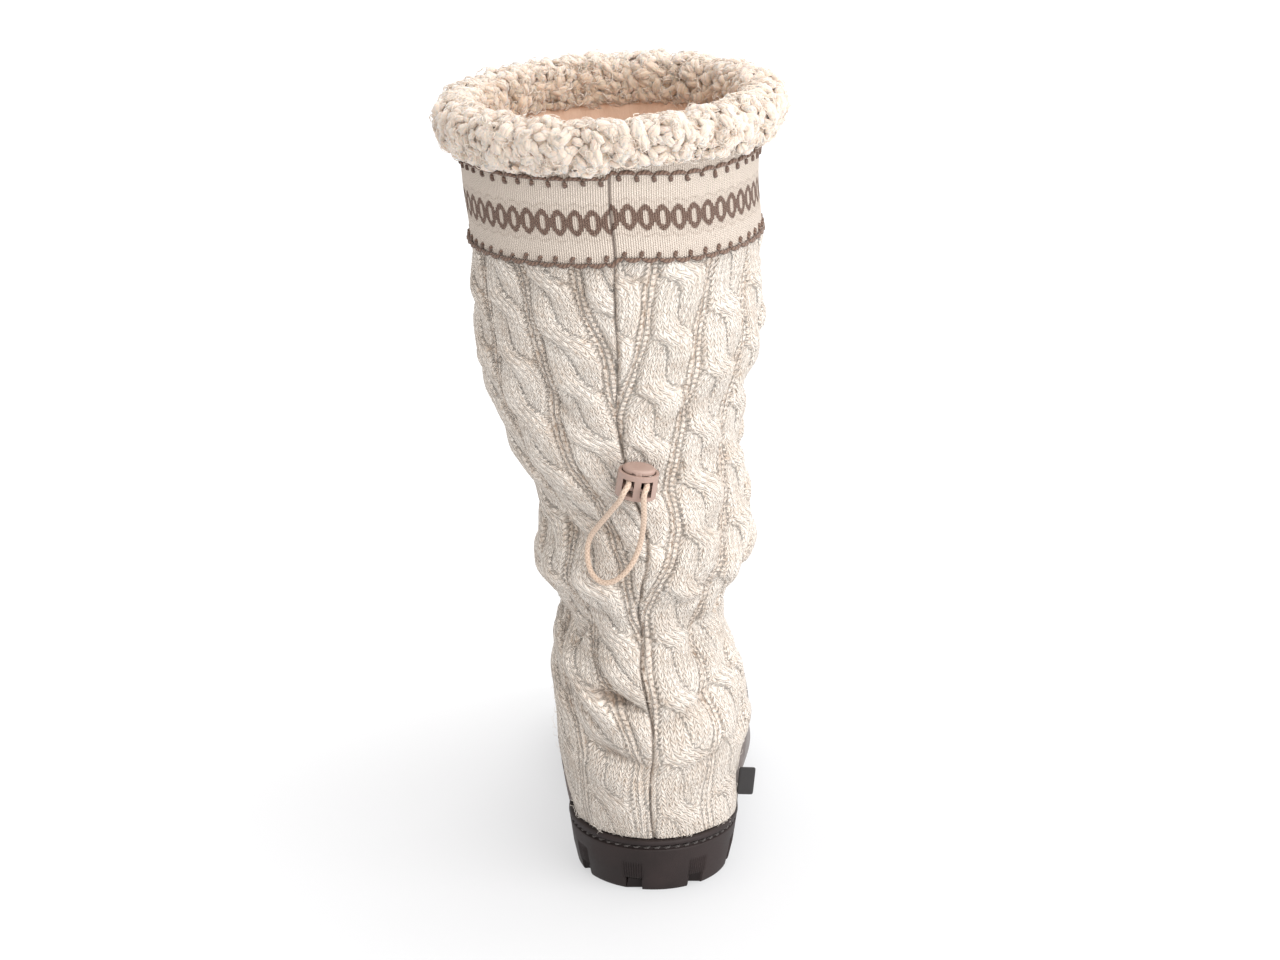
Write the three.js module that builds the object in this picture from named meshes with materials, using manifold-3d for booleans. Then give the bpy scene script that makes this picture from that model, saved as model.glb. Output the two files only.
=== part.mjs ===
// Tall knitted slipper boot for the right foot, standing empty on its lugged sole.
// Millimetres, +Z up, +Y towards the toe, +X towards the outer (lateral) side.
// The origin is on the floor, under the centre of the heel.
import * as THREE from "three";
import { mergeVertices } from "three/addons/utils/BufferGeometryUtils.js";
import Module from "manifold-3d";

const wasm = await Module();
wasm.setup();

const table = (columns, rows) =>
  rows.map((row) => Object.fromEntries(columns.map((name, i) => [name, row[i]])));

// Driving sizes of the sole and the foot
const SOLE_HEIGHT = 26;
const BALL_DROP = 3.5;
const TOE_RISE = 7;
const TOE_SPRING = 9;
const ARCH_RISE = 6;
const LUG_DEPTH = 5;
const WAIST_STATION = 70;
const WAIST_REACH = 36;
const WAIST_PINCH = { medial: 5, lateral: 2 };
const BALL_START = 10;
const BALL_STATION = 140;
const TOE_SWING = 6;
const SWING_START = 80;

// Driving sizes of the upper and what is sewn to it
const WALL = 3;
const GAP = 0.3;
const UPPER_TOP = 366;
const COLLAR_TILT = 0.052;
const COLLAR_CENTRE = -18;
const ANKLE_HEIGHT = 123;
const SEAM_DEPTH = 1.2;
const SEAM_WIDTH = 3;
const SEAM_COLUMN = 0.02;
const UPPER_COLUMNS = 42;
const UPPER_ROWS = [
  26, 32, 39, 48, 57, 66, 75, 86, 96, 109, 123, 132, 141, 151, 161, 172, 184, 200, 215, 230, 250, 285, 308,
  355, 366,
];
const LINING_ROWS = [26, 39, 57, 75, 96, 123, 151, 184, 215, 250, 355, 366];
const BAND_BOTTOM = 308;
const BAND_TOP = 355;
const BAND_THICK = 1.6;
const OVERLAY = { foot: 27, top: 109, gap: 0.4, thick: 1.4 };

// The rear edge of the suede panel, seen from the side.
const OVERLAY_EDGE = table(
  ["y", "z"],
  [
    [5, 20],
    [13, 33],
    [28, 50],
    [47, 68],
    [67, 83],
    [86, 94],
    [108, 102],
  ],
);
const INSOLE_THICK = 4;

// Driving sizes of the cord lock and its elastic cord
const LOCK_AT = { x: -8.5, z: 197.7, off: 6.8, tilt: 10, roll: 8 };
const BARREL = { wide: 9.4, deep: 7, height: 12.4, floor: 1.4, bore_wide: 7.9, bore_deep: 5.6 };
const BUTTON = { wide: 7.5, deep: 5.2, stands: 2.4, travel: 2.4 };
const WINDOW = { bottom: 1.8, top: 9.8 };
const CORD_DIAMETER = 2.6;
const CORD_SPACING = 4.2;
const CORD_HEIGHT = 8.1;
const CORD_START = 0.4;

// The cord's loop as it hangs: across and up as seen from the back, and how far off the knit's face.
const CORD_LOOP = table(
  ["x", "z", "off"],
  [
    [-13.5, 202.4, 17.5],
    [-15.4, 198.1, 16.8],
    [-18.6, 192.8, 14],
    [-22.4, 186.3, 10.5],
    [-26.1, 179.8, 7.5],
    [-29, 173.9, 5.2],
    [-30.3, 168, 4.4],
    [-30.1, 162.4, 4.2],
    [-28.3, 157, 4.2],
    [-23.8, 153.7, 4.2],
    [-18.6, 154.8, 4.2],
    [-13.9, 158.6, 4.2],
    [-10.2, 163.6, 4.4],
    [-7.6, 169.2, 5],
    [-5.9, 175.4, 6.5],
    [-4.9, 182.6, 10],
    [-4.5, 189.6, 14],
    [-4.6, 196.2, 17],
    [-4.3, 201.5, 18],
  ],
);

const LABEL = { y: 8, z: 38, reach: 8, tall: 13.5, thick: 1.2, droop: 6, turn: 12, gap: 1.1 };

// Level sections of the upper from the sole to the collar. back and front are stations along Y, medial and
// lateral are reaches along -X and +X at the heel, ball_medial and ball_lateral at the ball of the foot,
// and heel_cap and toe_cap are the lengths over which the two ends round off.
const SECTIONS = table(
  ["z", "back", "front", "medial", "lateral", "ball_medial", "ball_lateral", "heel_cap", "toe_cap"],
  [
    [26, -37.8, 226, 38.2, 38.2, 43, 45.3, 48, 88],
    [36, -39.5, 229, 41, 39, 45, 48, 49, 90],
    [48, -40.5, 226, 44, 40.6, 45, 46, 50, 90],
    [58, -41.5, 215, 45.5, 43.2, 43.5, 42, 50, 90],
    [66, -42, 197, 46.3, 46, 42, 38.5, 51, 88],
    [74, -42, 172, 46.5, 46, 40.5, 35, 52, 80],
    [84, -41.5, 147, 46.5, 44.5, 39, 28, 53, 70],
    [96, -39.5, 124, 46.7, 39.5, 38, 26, 54, 62],
    [109, -36, 105, 46, 34, 38, 27, 55, 58],
    [123, -32, 90, 42.5, 32, 42.5, 32, 60, 61],
    [132, -34.5, 86, 48, 34.5, 48, 34.5, 60, 60],
    [141, -38, 85, 53, 40.5, 53, 40.5, 61, 61],
    [151, -41.5, 84, 55.5, 44.5, 55.5, 44.5, 62, 62],
    [161, -42, 82, 53, 47, 53, 47, 62, 62],
    [172, -41, 78, 51.7, 45.6, 51.7, 45.6, 60, 60],
    [184, -40.5, 75, 55, 43.7, 55, 43.7, 58, 58],
    [200, -41.5, 73, 64, 41.2, 64, 41.2, 57, 57],
    [215, -44, 75, 69.5, 41.1, 69.5, 41.1, 60, 60],
    [230, -47, 77, 75, 42, 75, 42, 62, 62],
    [250, -50, 79, 81.5, 49, 81.5, 49, 65, 65],
    [265, -52, 80, 82.5, 50.3, 82.5, 50.3, 66, 66],
    [285, -53, 80, 83.3, 48.6, 83.3, 48.6, 67, 67],
    [307, -53.5, 80, 83, 48.2, 83, 48.2, 67, 67],
    [332, -54, 80, 86, 46.5, 86, 46.5, 67, 67],
    [366, -56, 82, 88.5, 48.5, 88.5, 48.5, 69, 69],
  ],
);

// Slouch folds of the knit: each is a soft ridge or, where depth is negative, a trough, centred at distance
// around from the back seam (positive on the outer side) and height z, long by its two half sizes, and
// tilted in degrees from level, with its outer end up where the tilt is positive.
const FOLDS = table(
  ["around", "z", "long", "wide", "tilt", "depth"],
  [
    [-26, 106, 30, 6, -36, -4.5],
    [-24, 91, 26, 8, -34, 3],
    [-27, 70, 22, 5, -24, -3],
    [-45, 134, 24, 6, -22, -3.5],
    [-42, 150, 24, 9, -16, 2.5],
    [38, 120, 26, 6, 24, -3.5],
    [36, 105, 26, 9, 22, 2.5],
    [44, 154, 26, 9, 14, 2.5],
    [40, 203, 30, 7, 20, -3.5],
    [-44, 174, 24, 6, -28, -3],
    [-48, 218, 30, 9, -38, 2.5],
    [60, 74, 24, 6, 28, -2.5],
    [116, 42, 30, 14, 0, 5],
  ],
);

// The sole's outline at its widest, as one more section.
const SOLE_OUTLINE = table(
  ["back", "front", "medial", "lateral", "ball_medial", "ball_lateral", "heel_cap", "toe_cap"],
  [[-40, 232, 40.3, 40.3, 45.5, 47.5, 50, 90]],
)[0];

// The sole's side from the floor to the ledge that the upper stands on: height is a share of the wall below
// the stitch groove where under is 0, and otherwise millimetres under the ledge. inset is from the outline.
const SOLE_SIDE = table(
  ["share", "under", "inset"],
  [
    [0, 0, 4.8],
    [0.05, 0, 4.2],
    [0.45, 0, 2.2],
    [1, 4.6, 0.5],
    [1, 4.2, 1.9],
    [1, 2.6, 1.9],
    [1, 2.2, 0],
    [1, 0.7, 0],
    [1, 0, 0.7],
  ],
);
const STITCH_WALL = 4.6;

// The fleece cuff's section, hooked over the collar: out is from the upper's outer face, up from its top edge.
const CUFF_SECTION = table(
  ["out", "up"],
  [
    [0.4, 0.4],
    [0.4, -8.5],
    [BAND_THICK + 0.8, -8.5],
    [BAND_THICK + 0.8, -12.5],
    [7, -14],
    [11.2, -8.5],
    [10.6, -1],
    [5.4, 5.4],
    [-2.4, 7.2],
    [-8.2, 3.4],
    [-10, -4],
    [-7.4, -11.5],
    [-WALL - 0.4, -11.5],
    [-WALL - 0.4, 0.4],
  ],
);

// Locks of fleece fused on in rows round the cuff: where each row sits, and its half sizes outwards and up.
const LOCKS_AROUND = 14;
const LOCK_LONG = 8;
const LOCK_ROWS = table(
  ["out", "up", "half_out", "half_up"],
  [
    [8.6, -6.5, 4.2, 6],
    [6.8, 2.8, 4.6, 3.8],
    [-7.8, -3, 3.6, 5.5],
  ],
);

const LUGS = { count: 18, wide: 9, deep: 16, start: 24 };
const RIBS = { count: 3, pitch: 2.6, wide: 1.2, deep: 2, tall: 9, up: 0.8, inset: -0.7, lean: 11 };

// Grooves between the lugs of the tread, in the middle of the heel and of the forefoot.
const TREAD_GROOVES = table(
  ["x", "y", "wide", "long"],
  [
    [-12, 5, 4, 56],
    [12, 5, 4, 56],
    [0, -12, 28, 4],
    [0, 22, 28, 4],
    [-14, 138, 4, 66],
    [12, 138, 4, 66],
    [-1, 118, 30, 4],
    [-1, 158, 30, 4],
  ],
);

const mix = (a, b, t) => a + (b - a) * t;
const clamp = (v, low, high) => Math.min(high, Math.max(low, v));
const smooth = (low, high, v) => {
  const t = clamp((v - low) / (high - low), 0, 1);
  return t * t * (3 - 2 * t);
};
const bell = (v, middle, reach) => Math.exp(-(((v - middle) / reach) ** 2));
const degrees = THREE.MathUtils.degToRad;

// A column of a table at height z, on a smooth curve through the rows that never overshoots them.
function columnAt(rows, name, z) {
  const last = rows.length - 1;
  const above = rows.findIndex((row) => row.z > z);
  const k = above < 0 ? last - 1 : clamp(above - 1, 0, last - 1);
  const slope = (i) => (rows[i + 1][name] - rows[i][name]) / (rows[i + 1].z - rows[i].z);
  const tangent = (i) => {
    if (i === 0) return slope(0);
    if (i === last) return slope(last - 1);
    const [a, b] = [slope(i - 1), slope(i)];
    return a * b > 0 ? (2 * a * b) / (a + b) : 0;
  };
  const span = rows[k + 1].z - rows[k].z;
  const t = clamp((z - rows[k].z) / span, 0, 1);
  const bend = t * (1 - t) ** 2 * tangent(k) - t * t * (1 - t) * tangent(k + 1);
  return mix(rows[k][name], rows[k + 1][name], t * t * (3 - 2 * t)) + span * bend;
}

// How far a rounded end lets the width reach at distance d from its tip: a quarter ellipse.
const cap = (d, length) => Math.sqrt(1 - (1 - clamp(d / length, 0, 1)) ** 2);
const swing = (y) => -TOE_SWING * smooth(SWING_START, SOLE_OUTLINE.front, y);
const soleTop = (y) => SOLE_HEIGHT - BALL_DROP * smooth(40, 130, y) + TOE_RISE * smooth(160, 240, y);
const soleBottom = (y) =>
  ARCH_RISE * (smooth(42, 58, y) - smooth(84, 100, y)) + TOE_SPRING * smooth(172, 250, y);

// A point of a section's outline at station y: side is 1 for lateral and -1 for medial, and low is 1 at the
// sole and 0 at the ankle, where the swing and the waist of the foot end.
function outlineAt(section, side, low, y) {
  const [heel, ball] = side > 0 ? ["lateral", "ball_lateral"] : ["medial", "ball_medial"];
  const centre = (section.lateral - section.medial) / 2;
  const ends = cap(y - section.back, section.heel_cap) * cap(section.front - y, section.toe_cap);
  const reach = mix(section[heel], section[ball], smooth(BALL_START, BALL_STATION, y)) - side * centre;
  const pinch = WAIST_PINCH[heel] * low * bell(y, WAIST_STATION, WAIST_REACH);
  return centre + low * swing(y) + side * (reach - pinch) * ends;
}

// One half of an outline from the heel's back to the toe, in steps that are short at both ends, with the
// length walked so far.
function halfOutline(section, side, low, steps) {
  const points = [];
  for (let i = 0; i <= steps; i++) {
    const share = (1 - Math.cos((Math.PI * i) / steps)) / 2;
    const y = mix(section.back, section.front, share);
    const x = outlineAt(section, side, low, y);
    const before = points[i - 1];
    const length = before ? before.length + Math.hypot(x - before.x, y - before.y) : 0;
    points.push({ x, y, length });
  }
  return points;
}

// The point at a distance along a half outline.
function pointAlong(points, distance) {
  const found = points.findIndex((p) => p.length >= distance);
  const k = found < 0 ? points.length - 1 : Math.max(found, 1);
  const [a, b] = [points[k - 1], points[k]];
  const t = clamp((distance - a.length) / (b.length - a.length), 0, 1);
  return { x: mix(a.x, b.x, t), y: mix(a.y, b.y, t) };
}

const lowness = (z) => 1 - smooth(32, 102, z);
const levels = new Map();

// The level section of the upper at height z, with both half outlines.
function levelAt(z) {
  if (!levels.has(z)) {
    const section = { z };
    for (const name of Object.keys(SECTIONS[0])) {
      if (name !== "z") section[name] = columnAt(SECTIONS, name, z);
    }
    const lateral = halfOutline(section, 1, lowness(z), 160);
    const medial = halfOutline(section, -1, lowness(z), 160);
    levels.set(z, { section, halves: { lateral, medial } });
  }
  return levels.get(z);
}

const ankle = levelAt(ANKLE_HEIGHT).halves;
const ankleHalf = (ankle.lateral.at(-1).length + ankle.medial.at(-1).length) / 2;

// Distance around from the back seam for a column s, which runs from -1 through 0 at the back seam to 1: the
// columns keep the ankle's spacing over the heel, and the foot's extra length goes to the toe.
function aroundAt(s, z) {
  const half = levelAt(z).halves[s >= 0 ? "lateral" : "medial"].at(-1).length;
  const share = mix(Math.abs(s), Math.abs(s) ** 3, 1 - smooth(82, 127, z));
  return Math.abs(s) * ankleHalf + (half - ankleHalf) * share;
}

// The plain surface of the upper, before folds: column s at level z. The foot's levels follow the sole's
// top, and the collar's levels rise to the outer side.
function plainSkin(s, z) {
  const { halves } = levelAt(z);
  const { x, y } = pointAlong(halves[s >= 0 ? "lateral" : "medial"], aroundAt(s, z));
  const follow = (soleTop(y) - SOLE_HEIGHT) * (1 - smooth(SOLE_HEIGHT, 112, z));
  const rise = COLLAR_TILT * (x - COLLAR_CENTRE) * smooth(215, BAND_BOTTOM, z);
  return new THREE.Vector3(x, y, z + follow + rise + GAP);
}

// The outward direction of the plain surface.
function skinNormal(s, z) {
  const step = 0.5;
  const across = plainSkin(Math.min(s + 0.004, 1), z).sub(plainSkin(Math.max(s - 0.004, -1), z));
  const top = Math.min(z + step, UPPER_TOP);
  const bottom = Math.max(z - step, SOLE_HEIGHT);
  const up = plainSkin(s, top).sub(plainSkin(s, bottom));
  if (Math.abs(s) > 0.99) across.set(-1, 0, 0);
  return across.cross(up).normalize();
}

// How far the folds and the back seam move the surface out at a column and level.
function foldAt(s, z) {
  const around = Math.sign(s) * aroundAt(s, z);
  const seam = smooth(SOLE_HEIGHT, 38, z) * (1 - smooth(292, BAND_BOTTOM, z));
  let out = -SEAM_DEPTH * seam * bell(around, 0, SEAM_WIDTH);
  for (const fold of FOLDS) {
    const turn = degrees(fold.tilt);
    const [da, dz] = [around - fold.around, z - fold.z];
    const along = da * Math.cos(turn) + dz * Math.sin(turn);
    const across = dz * Math.cos(turn) - da * Math.sin(turn);
    out += fold.depth * bell(along, 0, fold.long) * bell(across, 0, fold.wide);
  }
  return out;
}

// A point at a distance out from the upper's outer face. The lowest level stays flat on the sole.
function skin(s, z, out) {
  const normal = skinNormal(s, z);
  if (z <= SOLE_HEIGHT) normal.setZ(0).normalize();
  return plainSkin(s, z).addScaledVector(normal, out + foldAt(s, z));
}

// A closed solid from two sheets of points, each a list of rows, with the sheets joined along their edges.
// A wrapped solid runs on from the last column to the first.
function sheetSolid(outer, inner, wrap) {
  const columns = outer[0].length;
  const positions = [...outer, ...inner].flat().flatMap((p) => [p.x, p.y, p.z]);
  const index = [];
  const quad = (a, b, c, d) => index.push(a, b, c, a, c, d);
  const at = (sheet, row, column) => {
    const skipped = sheet ? outer.length * columns : 0;
    return skipped + row * columns + (column % columns);
  };
  const spans = wrap ? columns : columns - 1;
  for (let i = 0; i < spans; i++) {
    for (let j = 0; j + 1 < outer.length; j++) {
      quad(at(0, j, i), at(0, j, i + 1), at(0, j + 1, i + 1), at(0, j + 1, i));
    }
    for (let j = 0; j + 1 < inner.length; j++) {
      quad(at(1, j, i), at(1, j + 1, i), at(1, j + 1, i + 1), at(1, j, i + 1));
    }
    const [top, topIn] = [outer.length - 1, inner.length - 1];
    quad(at(1, 0, i), at(1, 0, i + 1), at(0, 0, i + 1), at(0, 0, i));
    quad(at(0, top, i), at(0, top, i + 1), at(1, topIn, i + 1), at(1, topIn, i));
  }
  for (let j = 0; !wrap && j + 1 < outer.length; j++) {
    const end = columns - 1;
    quad(at(1, j, 0), at(0, j, 0), at(0, j + 1, 0), at(1, j + 1, 0));
    quad(at(0, j, end), at(1, j, end), at(1, j + 1, end), at(0, j + 1, end));
  }
  return closed(positions, index);
}

// A closed solid lofted through rings of points that all run from the heel's back along the lateral side to
// the toe and home along the medial side. The two end rings are closed by rungs from side to side.
function loftSolid(rings) {
  const count = rings[0].length;
  const positions = rings.flat().flatMap((p) => [p.x, p.y, p.z]);
  const index = [];
  for (let j = 0; j + 1 < rings.length; j++) {
    for (let i = 0; i < count; i++) {
      const [a, b] = [j * count + i, j * count + ((i + 1) % count)];
      index.push(a, b, b + count, a, b + count, a + count);
    }
  }
  const half = count / 2;
  const rung = (base, i) => [base + i, base + ((count - i) % count)];
  for (let i = 0; i < half; i++) {
    for (const [base, turned] of [[0, true], [(rings.length - 1) * count, false]]) {
      const [a, d] = rung(base, i);
      const [b, c] = rung(base, i + 1);
      const faces = [];
      if (b !== c) faces.push([a, b, c]);
      if (a !== d) faces.push([a, c, d]);
      for (const face of faces) index.push(...(turned ? face.reverse() : face));
    }
  }
  return closed(positions, index);
}

// A geometry from positions and triangles, turned so that it faces out.
function closed(positions, index) {
  const geometry = new THREE.BufferGeometry();
  geometry.setAttribute("position", new THREE.Float32BufferAttribute(positions, 3));
  const [a, b, c] = [new THREE.Vector3(), new THREE.Vector3(), new THREE.Vector3()];
  let volume = 0;
  for (let i = 0; i < index.length; i += 3) {
    a.fromArray(positions, 3 * index[i]);
    b.fromArray(positions, 3 * index[i + 1]);
    c.fromArray(positions, 3 * index[i + 2]);
    volume += a.dot(b.cross(c));
  }
  geometry.setIndex(volume < 0 ? [...index].reverse() : index);
  return geometry;
}

const toSolid = (geometry) => {
  const bare = geometry.clone();
  bare.deleteAttribute("normal");
  bare.deleteAttribute("uv");
  const merged = mergeVertices(bare, 1e-4);
  return new wasm.Manifold(
    new wasm.Mesh({
      numProp: 3,
      vertProperties: merged.attributes.position.array,
      triVerts: new Uint32Array(merged.index.array),
    }),
  );
};

const toGeometry = (solid) => {
  const mesh = solid.getMesh();
  const geometry = new THREE.BufferGeometry();
  geometry.setAttribute("position", new THREE.BufferAttribute(mesh.vertProperties, 3));
  geometry.setIndex(new THREE.BufferAttribute(mesh.triVerts, 1));
  return geometry;
};

const cutAll = (geometry, cutters) =>
  toGeometry(cutters.reduce((solid, cutter) => solid.subtract(toSolid(cutter)), toSolid(geometry)));
const fuseAll = (geometry, pieces) =>
  toGeometry(pieces.reduce((solid, piece) => solid.add(toSolid(piece)), toSolid(geometry)));

// A ring of an outline drawn in by inset, at the height that heightAt gives for each station.
function outlineRing(section, inset, steps, heightAt) {
  const inner = { ...section, back: section.back + inset, front: section.front - inset };
  for (const name of ["medial", "lateral", "ball_medial", "ball_lateral"]) inner[name] -= inset;
  const lateral = halfOutline(inner, 1, 1, steps);
  const medial = halfOutline(inner, -1, 1, steps);
  const ring = [...lateral, ...medial.slice(1, -1).reverse()];
  return ring.map(({ x, y }) => new THREE.Vector3(x, y, heightAt(y)));
}

// Columns of the upper: closer together at the toe, with one on each side of the back seam.
const columns = [];
for (let i = 0; i < UPPER_COLUMNS; i++) {
  const t = (2 * i) / UPPER_COLUMNS - 1;
  const eased = mix(Math.abs(t), 1 - (1 - Math.abs(t)) ** 2, 0.45);
  columns.push(Math.sign(t) * eased);
}
columns.push(-SEAM_COLUMN, SEAM_COLUMN);
columns.sort((a, b) => a - b);

const rowsAt = (heights, out) => heights.map((z) => columns.map((s) => skin(s, z, out)));

function buildUpper() {
  const shell = rowsAt(UPPER_ROWS, 0);
  const lining = rowsAt(LINING_ROWS, -WALL);
  for (const p of lining[0]) p.z = soleTop(p.y) + GAP;
  return sheetSolid(shell, lining, true);
}

function buildBand() {
  const heights = [BAND_BOTTOM, BAND_TOP];
  return sheetSolid(rowsAt(heights, GAP + BAND_THICK), rowsAt(heights, GAP), true);
}

// The suede panel is a sleeve over the knit of the foot, kept in front of its rear edge.
function buildOverlay() {
  const heights = UPPER_ROWS.filter((z) => z > OVERLAY.foot && z <= OVERLAY.top);
  heights.unshift(OVERLAY.foot);
  const sleeve = sheetSolid(rowsAt(heights, OVERLAY.gap + OVERLAY.thick), rowsAt(heights, OVERLAY.gap), true);
  const front = new THREE.Shape();
  front.moveTo(250, OVERLAY_EDGE[0].z);
  front.lineTo(250, OVERLAY_EDGE.at(-1).z);
  for (const { y, z } of [...OVERLAY_EDGE].reverse()) front.lineTo(y, z);
  const keep = new THREE.ExtrudeGeometry(front, { depth: 140, bevelEnabled: false });
  keep.translate(0, 0, -70).rotateZ(Math.PI / 2).rotateY(Math.PI / 2);
  return toGeometry(toSolid(sleeve).intersect(toSolid(keep)));
}

// The cuff's section swept round the collar, with locks of fleece fused on.
function buildCuff() {
  const place = (s, out, up) => {
    const level = UPPER_TOP + Math.min(up, 0);
    const normal = skinNormal(s, level).setZ(0).normalize();
    const over = new THREE.Vector3(0, 0, Math.max(up, 0));
    return plainSkin(s, level).addScaledVector(normal, out).add(over);
  };
  const positions = [];
  const index = [];
  const [around, profile] = [columns.length, CUFF_SECTION.length];
  for (const s of columns) {
    for (const { out, up } of CUFF_SECTION) positions.push(...place(s, out, up).toArray());
  }
  for (let i = 0; i < around; i++) {
    for (let j = 0; j < profile; j++) {
      const [a, b] = [i * profile + j, i * profile + ((j + 1) % profile)];
      const [c, d] = [a, b].map((k) => (k + profile) % (around * profile));
      index.push(a, b, d, a, d, c);
    }
  }
  const locks = [];
  LOCK_ROWS.forEach((row, k) => {
    for (let i = 0; i < LOCKS_AROUND; i++) {
      const vary = 1 + 0.12 * Math.sin(12.9 * i + 37.7 * k);
      const s = (2 * (i + 0.5 * (k % 2) + 0.25)) / LOCKS_AROUND - 1;
      const facing = skinNormal(s, UPPER_TOP);
      const lock = new THREE.IcosahedronGeometry(1);
      lock.scale(row.half_out, LOCK_LONG * vary, row.half_up).rotateZ(Math.atan2(facing.y, facing.x));
      const at = place(s, row.out, row.up);
      locks.push(lock.translate(at.x, at.y, at.z));
    }
  });
  return fuseAll(closed(positions, index), locks);
}

function buildInsole() {
  const section = levelAt(SOLE_HEIGHT).section;
  const layers = [
    [0, 0],
    [0.6, INSOLE_THICK - 1],
    [1.4, INSOLE_THICK],
  ];
  const ring = ([draw, up]) =>
    outlineRing(section, WALL + 1.4 + draw, 24, (y) => soleTop(y) + GAP + up);
  return loftSolid(layers.map(ring));
}

// The sole: its side lofted through the steps of SOLE_SIDE, then notched all round between the lugs, ribbed
// above each notch, and grooved between the lugs of the tread.
function buildOutsole() {
  const rings = SOLE_SIDE.map(({ share, under, inset }) =>
    outlineRing(SOLE_OUTLINE, inset, 26, (y) => {
      const wallTop = soleTop(y) - STITCH_WALL;
      return share < 1 ? mix(soleBottom(y), wallTop, share) : soleTop(y) - under;
    }),
  );
  const rim = outlineRing(SOLE_OUTLINE, 3, 160, soleBottom);
  const walked = [0];
  rim.forEach((p, i) => walked.push(walked[i] + p.distanceTo(rim[(i + 1) % rim.length])));
  const cutters = [];
  for (let k = 0; k < LUGS.count; k++) {
    const goal = ((LUGS.start + (k * walked.at(-1)) / LUGS.count) % walked.at(-1));
    const i = walked.findIndex((length) => length > goal) - 1;
    const ahead = rim[(i + 1) % rim.length].clone().sub(rim[i]).setZ(0).normalize();
    const place = new THREE.Matrix4().makeBasis(
      ahead,
      new THREE.Vector3(-ahead.y, ahead.x, 0),
      new THREE.Vector3(0, 0, 1),
    );
    place.setPosition(rim[i]);
    const notch = new THREE.BoxGeometry(LUGS.wide, LUGS.deep, LUG_DEPTH + 2);
    notch.translate(0, LUGS.deep / 2 - 5, LUG_DEPTH / 2 - 1);
    cutters.push(notch.applyMatrix4(place));
    for (let r = 0; r < RIBS.count; r++) {
      const rib = new THREE.BoxGeometry(RIBS.wide, RIBS.deep, RIBS.tall);
      rib.rotateX(degrees(RIBS.lean));
      rib.translate((r - (RIBS.count - 1) / 2) * RIBS.pitch, RIBS.inset, LUG_DEPTH + RIBS.up + RIBS.tall / 2);
      cutters.push(rib.applyMatrix4(place));
    }
  }
  for (const { x, y, wide, long } of TREAD_GROOVES) {
    const groove = new THREE.BoxGeometry(wide, long, LUG_DEPTH);
    cutters.push(groove.translate(x, y, LUG_DEPTH / 2 - 1));
  }
  return cutAll(loftSolid(rings), cutters);
}

// An upright elliptical prism.
function ellipsePrism(wide, deep, bottom, top, segments) {
  const prism = new THREE.CylinderGeometry(1, 1, top - bottom, segments).rotateX(Math.PI / 2);
  return prism.scale(wide, deep, 1).translate(0, 0, (top + bottom) / 2);
}

const box = (x0, x1, y0, y1, z0, z1) =>
  new THREE.BoxGeometry(x1 - x0, y1 - y0, z1 - z0).translate((x0 + x1) / 2, (y0 + y1) / 2, (z0 + z1) / 2);

// The barrel has a bore for the button and two windows, front and back, for the cord.
function buildBarrel() {
  const shell = ellipsePrism(BARREL.wide, BARREL.deep, 0, BARREL.height, 28);
  const bore = ellipsePrism(BARREL.bore_wide, BARREL.bore_deep, BARREL.floor, BARREL.height + 1, 28);
  const windows = [-1, 1].map((side) => {
    const [near, far] = [side * 1.6, side * 6.8];
    return box(Math.min(near, far), Math.max(near, far), -10, 10, WINDOW.bottom, WINDOW.top);
  });
  return cutAll(shell, [bore, ...windows]);
}

// The button's stem is cut back on both sides, so that the cord stays clear of it all the way down.
function buildButton() {
  const bottom = BARREL.floor + GAP + BUTTON.travel;
  const body = ellipsePrism(BUTTON.wide, BUTTON.deep, bottom, BARREL.height + BUTTON.stands - 0.8, 28);
  const crown = new THREE.CylinderGeometry(0.88, 1, 0.8, 28).rotateX(Math.PI / 2);
  crown.scale(BUTTON.wide, BUTTON.deep, 1).translate(0, 0, BARREL.height + BUTTON.stands - 0.4);
  const radius = CORD_DIAMETER / 2;
  const [low, high] = [CORD_HEIGHT - radius - 0.4, CORD_HEIGHT + radius + BUTTON.travel + 0.4];
  const slots = [box(-9, -2, -9, 9, low, high), box(2, 9, -9, 9, low, high)];
  return cutAll(fuseAll(body, [crown]), slots);
}

// The knit's outer face straight behind a place seen from the back: the station at x and z.
function backFace(x, z) {
  const { section, halves } = levelAt(z);
  const side = x > (section.lateral - section.medial) / 2 ? "lateral" : "medial";
  const half = halves[side];
  const k = half.findIndex((p) => (side === "lateral" ? p.x >= x : p.x <= x));
  return half[Math.max(k, 0)].y;
}

const lockPlace = new THREE.Matrix4()
  .makeRotationFromEuler(new THREE.Euler(degrees(LOCK_AT.tilt), degrees(LOCK_AT.roll), 0, "XYZ"))
  .setPosition(LOCK_AT.x, backFace(LOCK_AT.x, LOCK_AT.z) - LOCK_AT.off, LOCK_AT.z);

// The elastic cord: out of the knit, through the lock, down as a loop and back.
function buildCord() {
  const inLock = (x, y, z) => new THREE.Vector3(x, y, z).applyMatrix4(lockPlace);
  const lead = [
    [BARREL.deep + CORD_START, CORD_HEIGHT],
    [0, CORD_HEIGHT],
    [-BARREL.deep, CORD_HEIGHT],
  ];
  const hang = CORD_LOOP.map(({ x, z, off }) => new THREE.Vector3(x, backFace(x, z) - off, z));
  const route = [
    ...lead.map(([y, z]) => inLock(-CORD_SPACING, y, z)),
    ...hang,
    ...lead.reverse().map(([y, z]) => inLock(CORD_SPACING, y, z)),
  ];
  const circle = new THREE.Shape().absarc(0, 0, CORD_DIAMETER / 2, 0, 2 * Math.PI);
  return new THREE.ExtrudeGeometry(circle, {
    extrudePath: new THREE.CatmullRomCurve3(route, false, "centripetal"),
    steps: 40,
    curveSegments: 4,
  });
}

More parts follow.
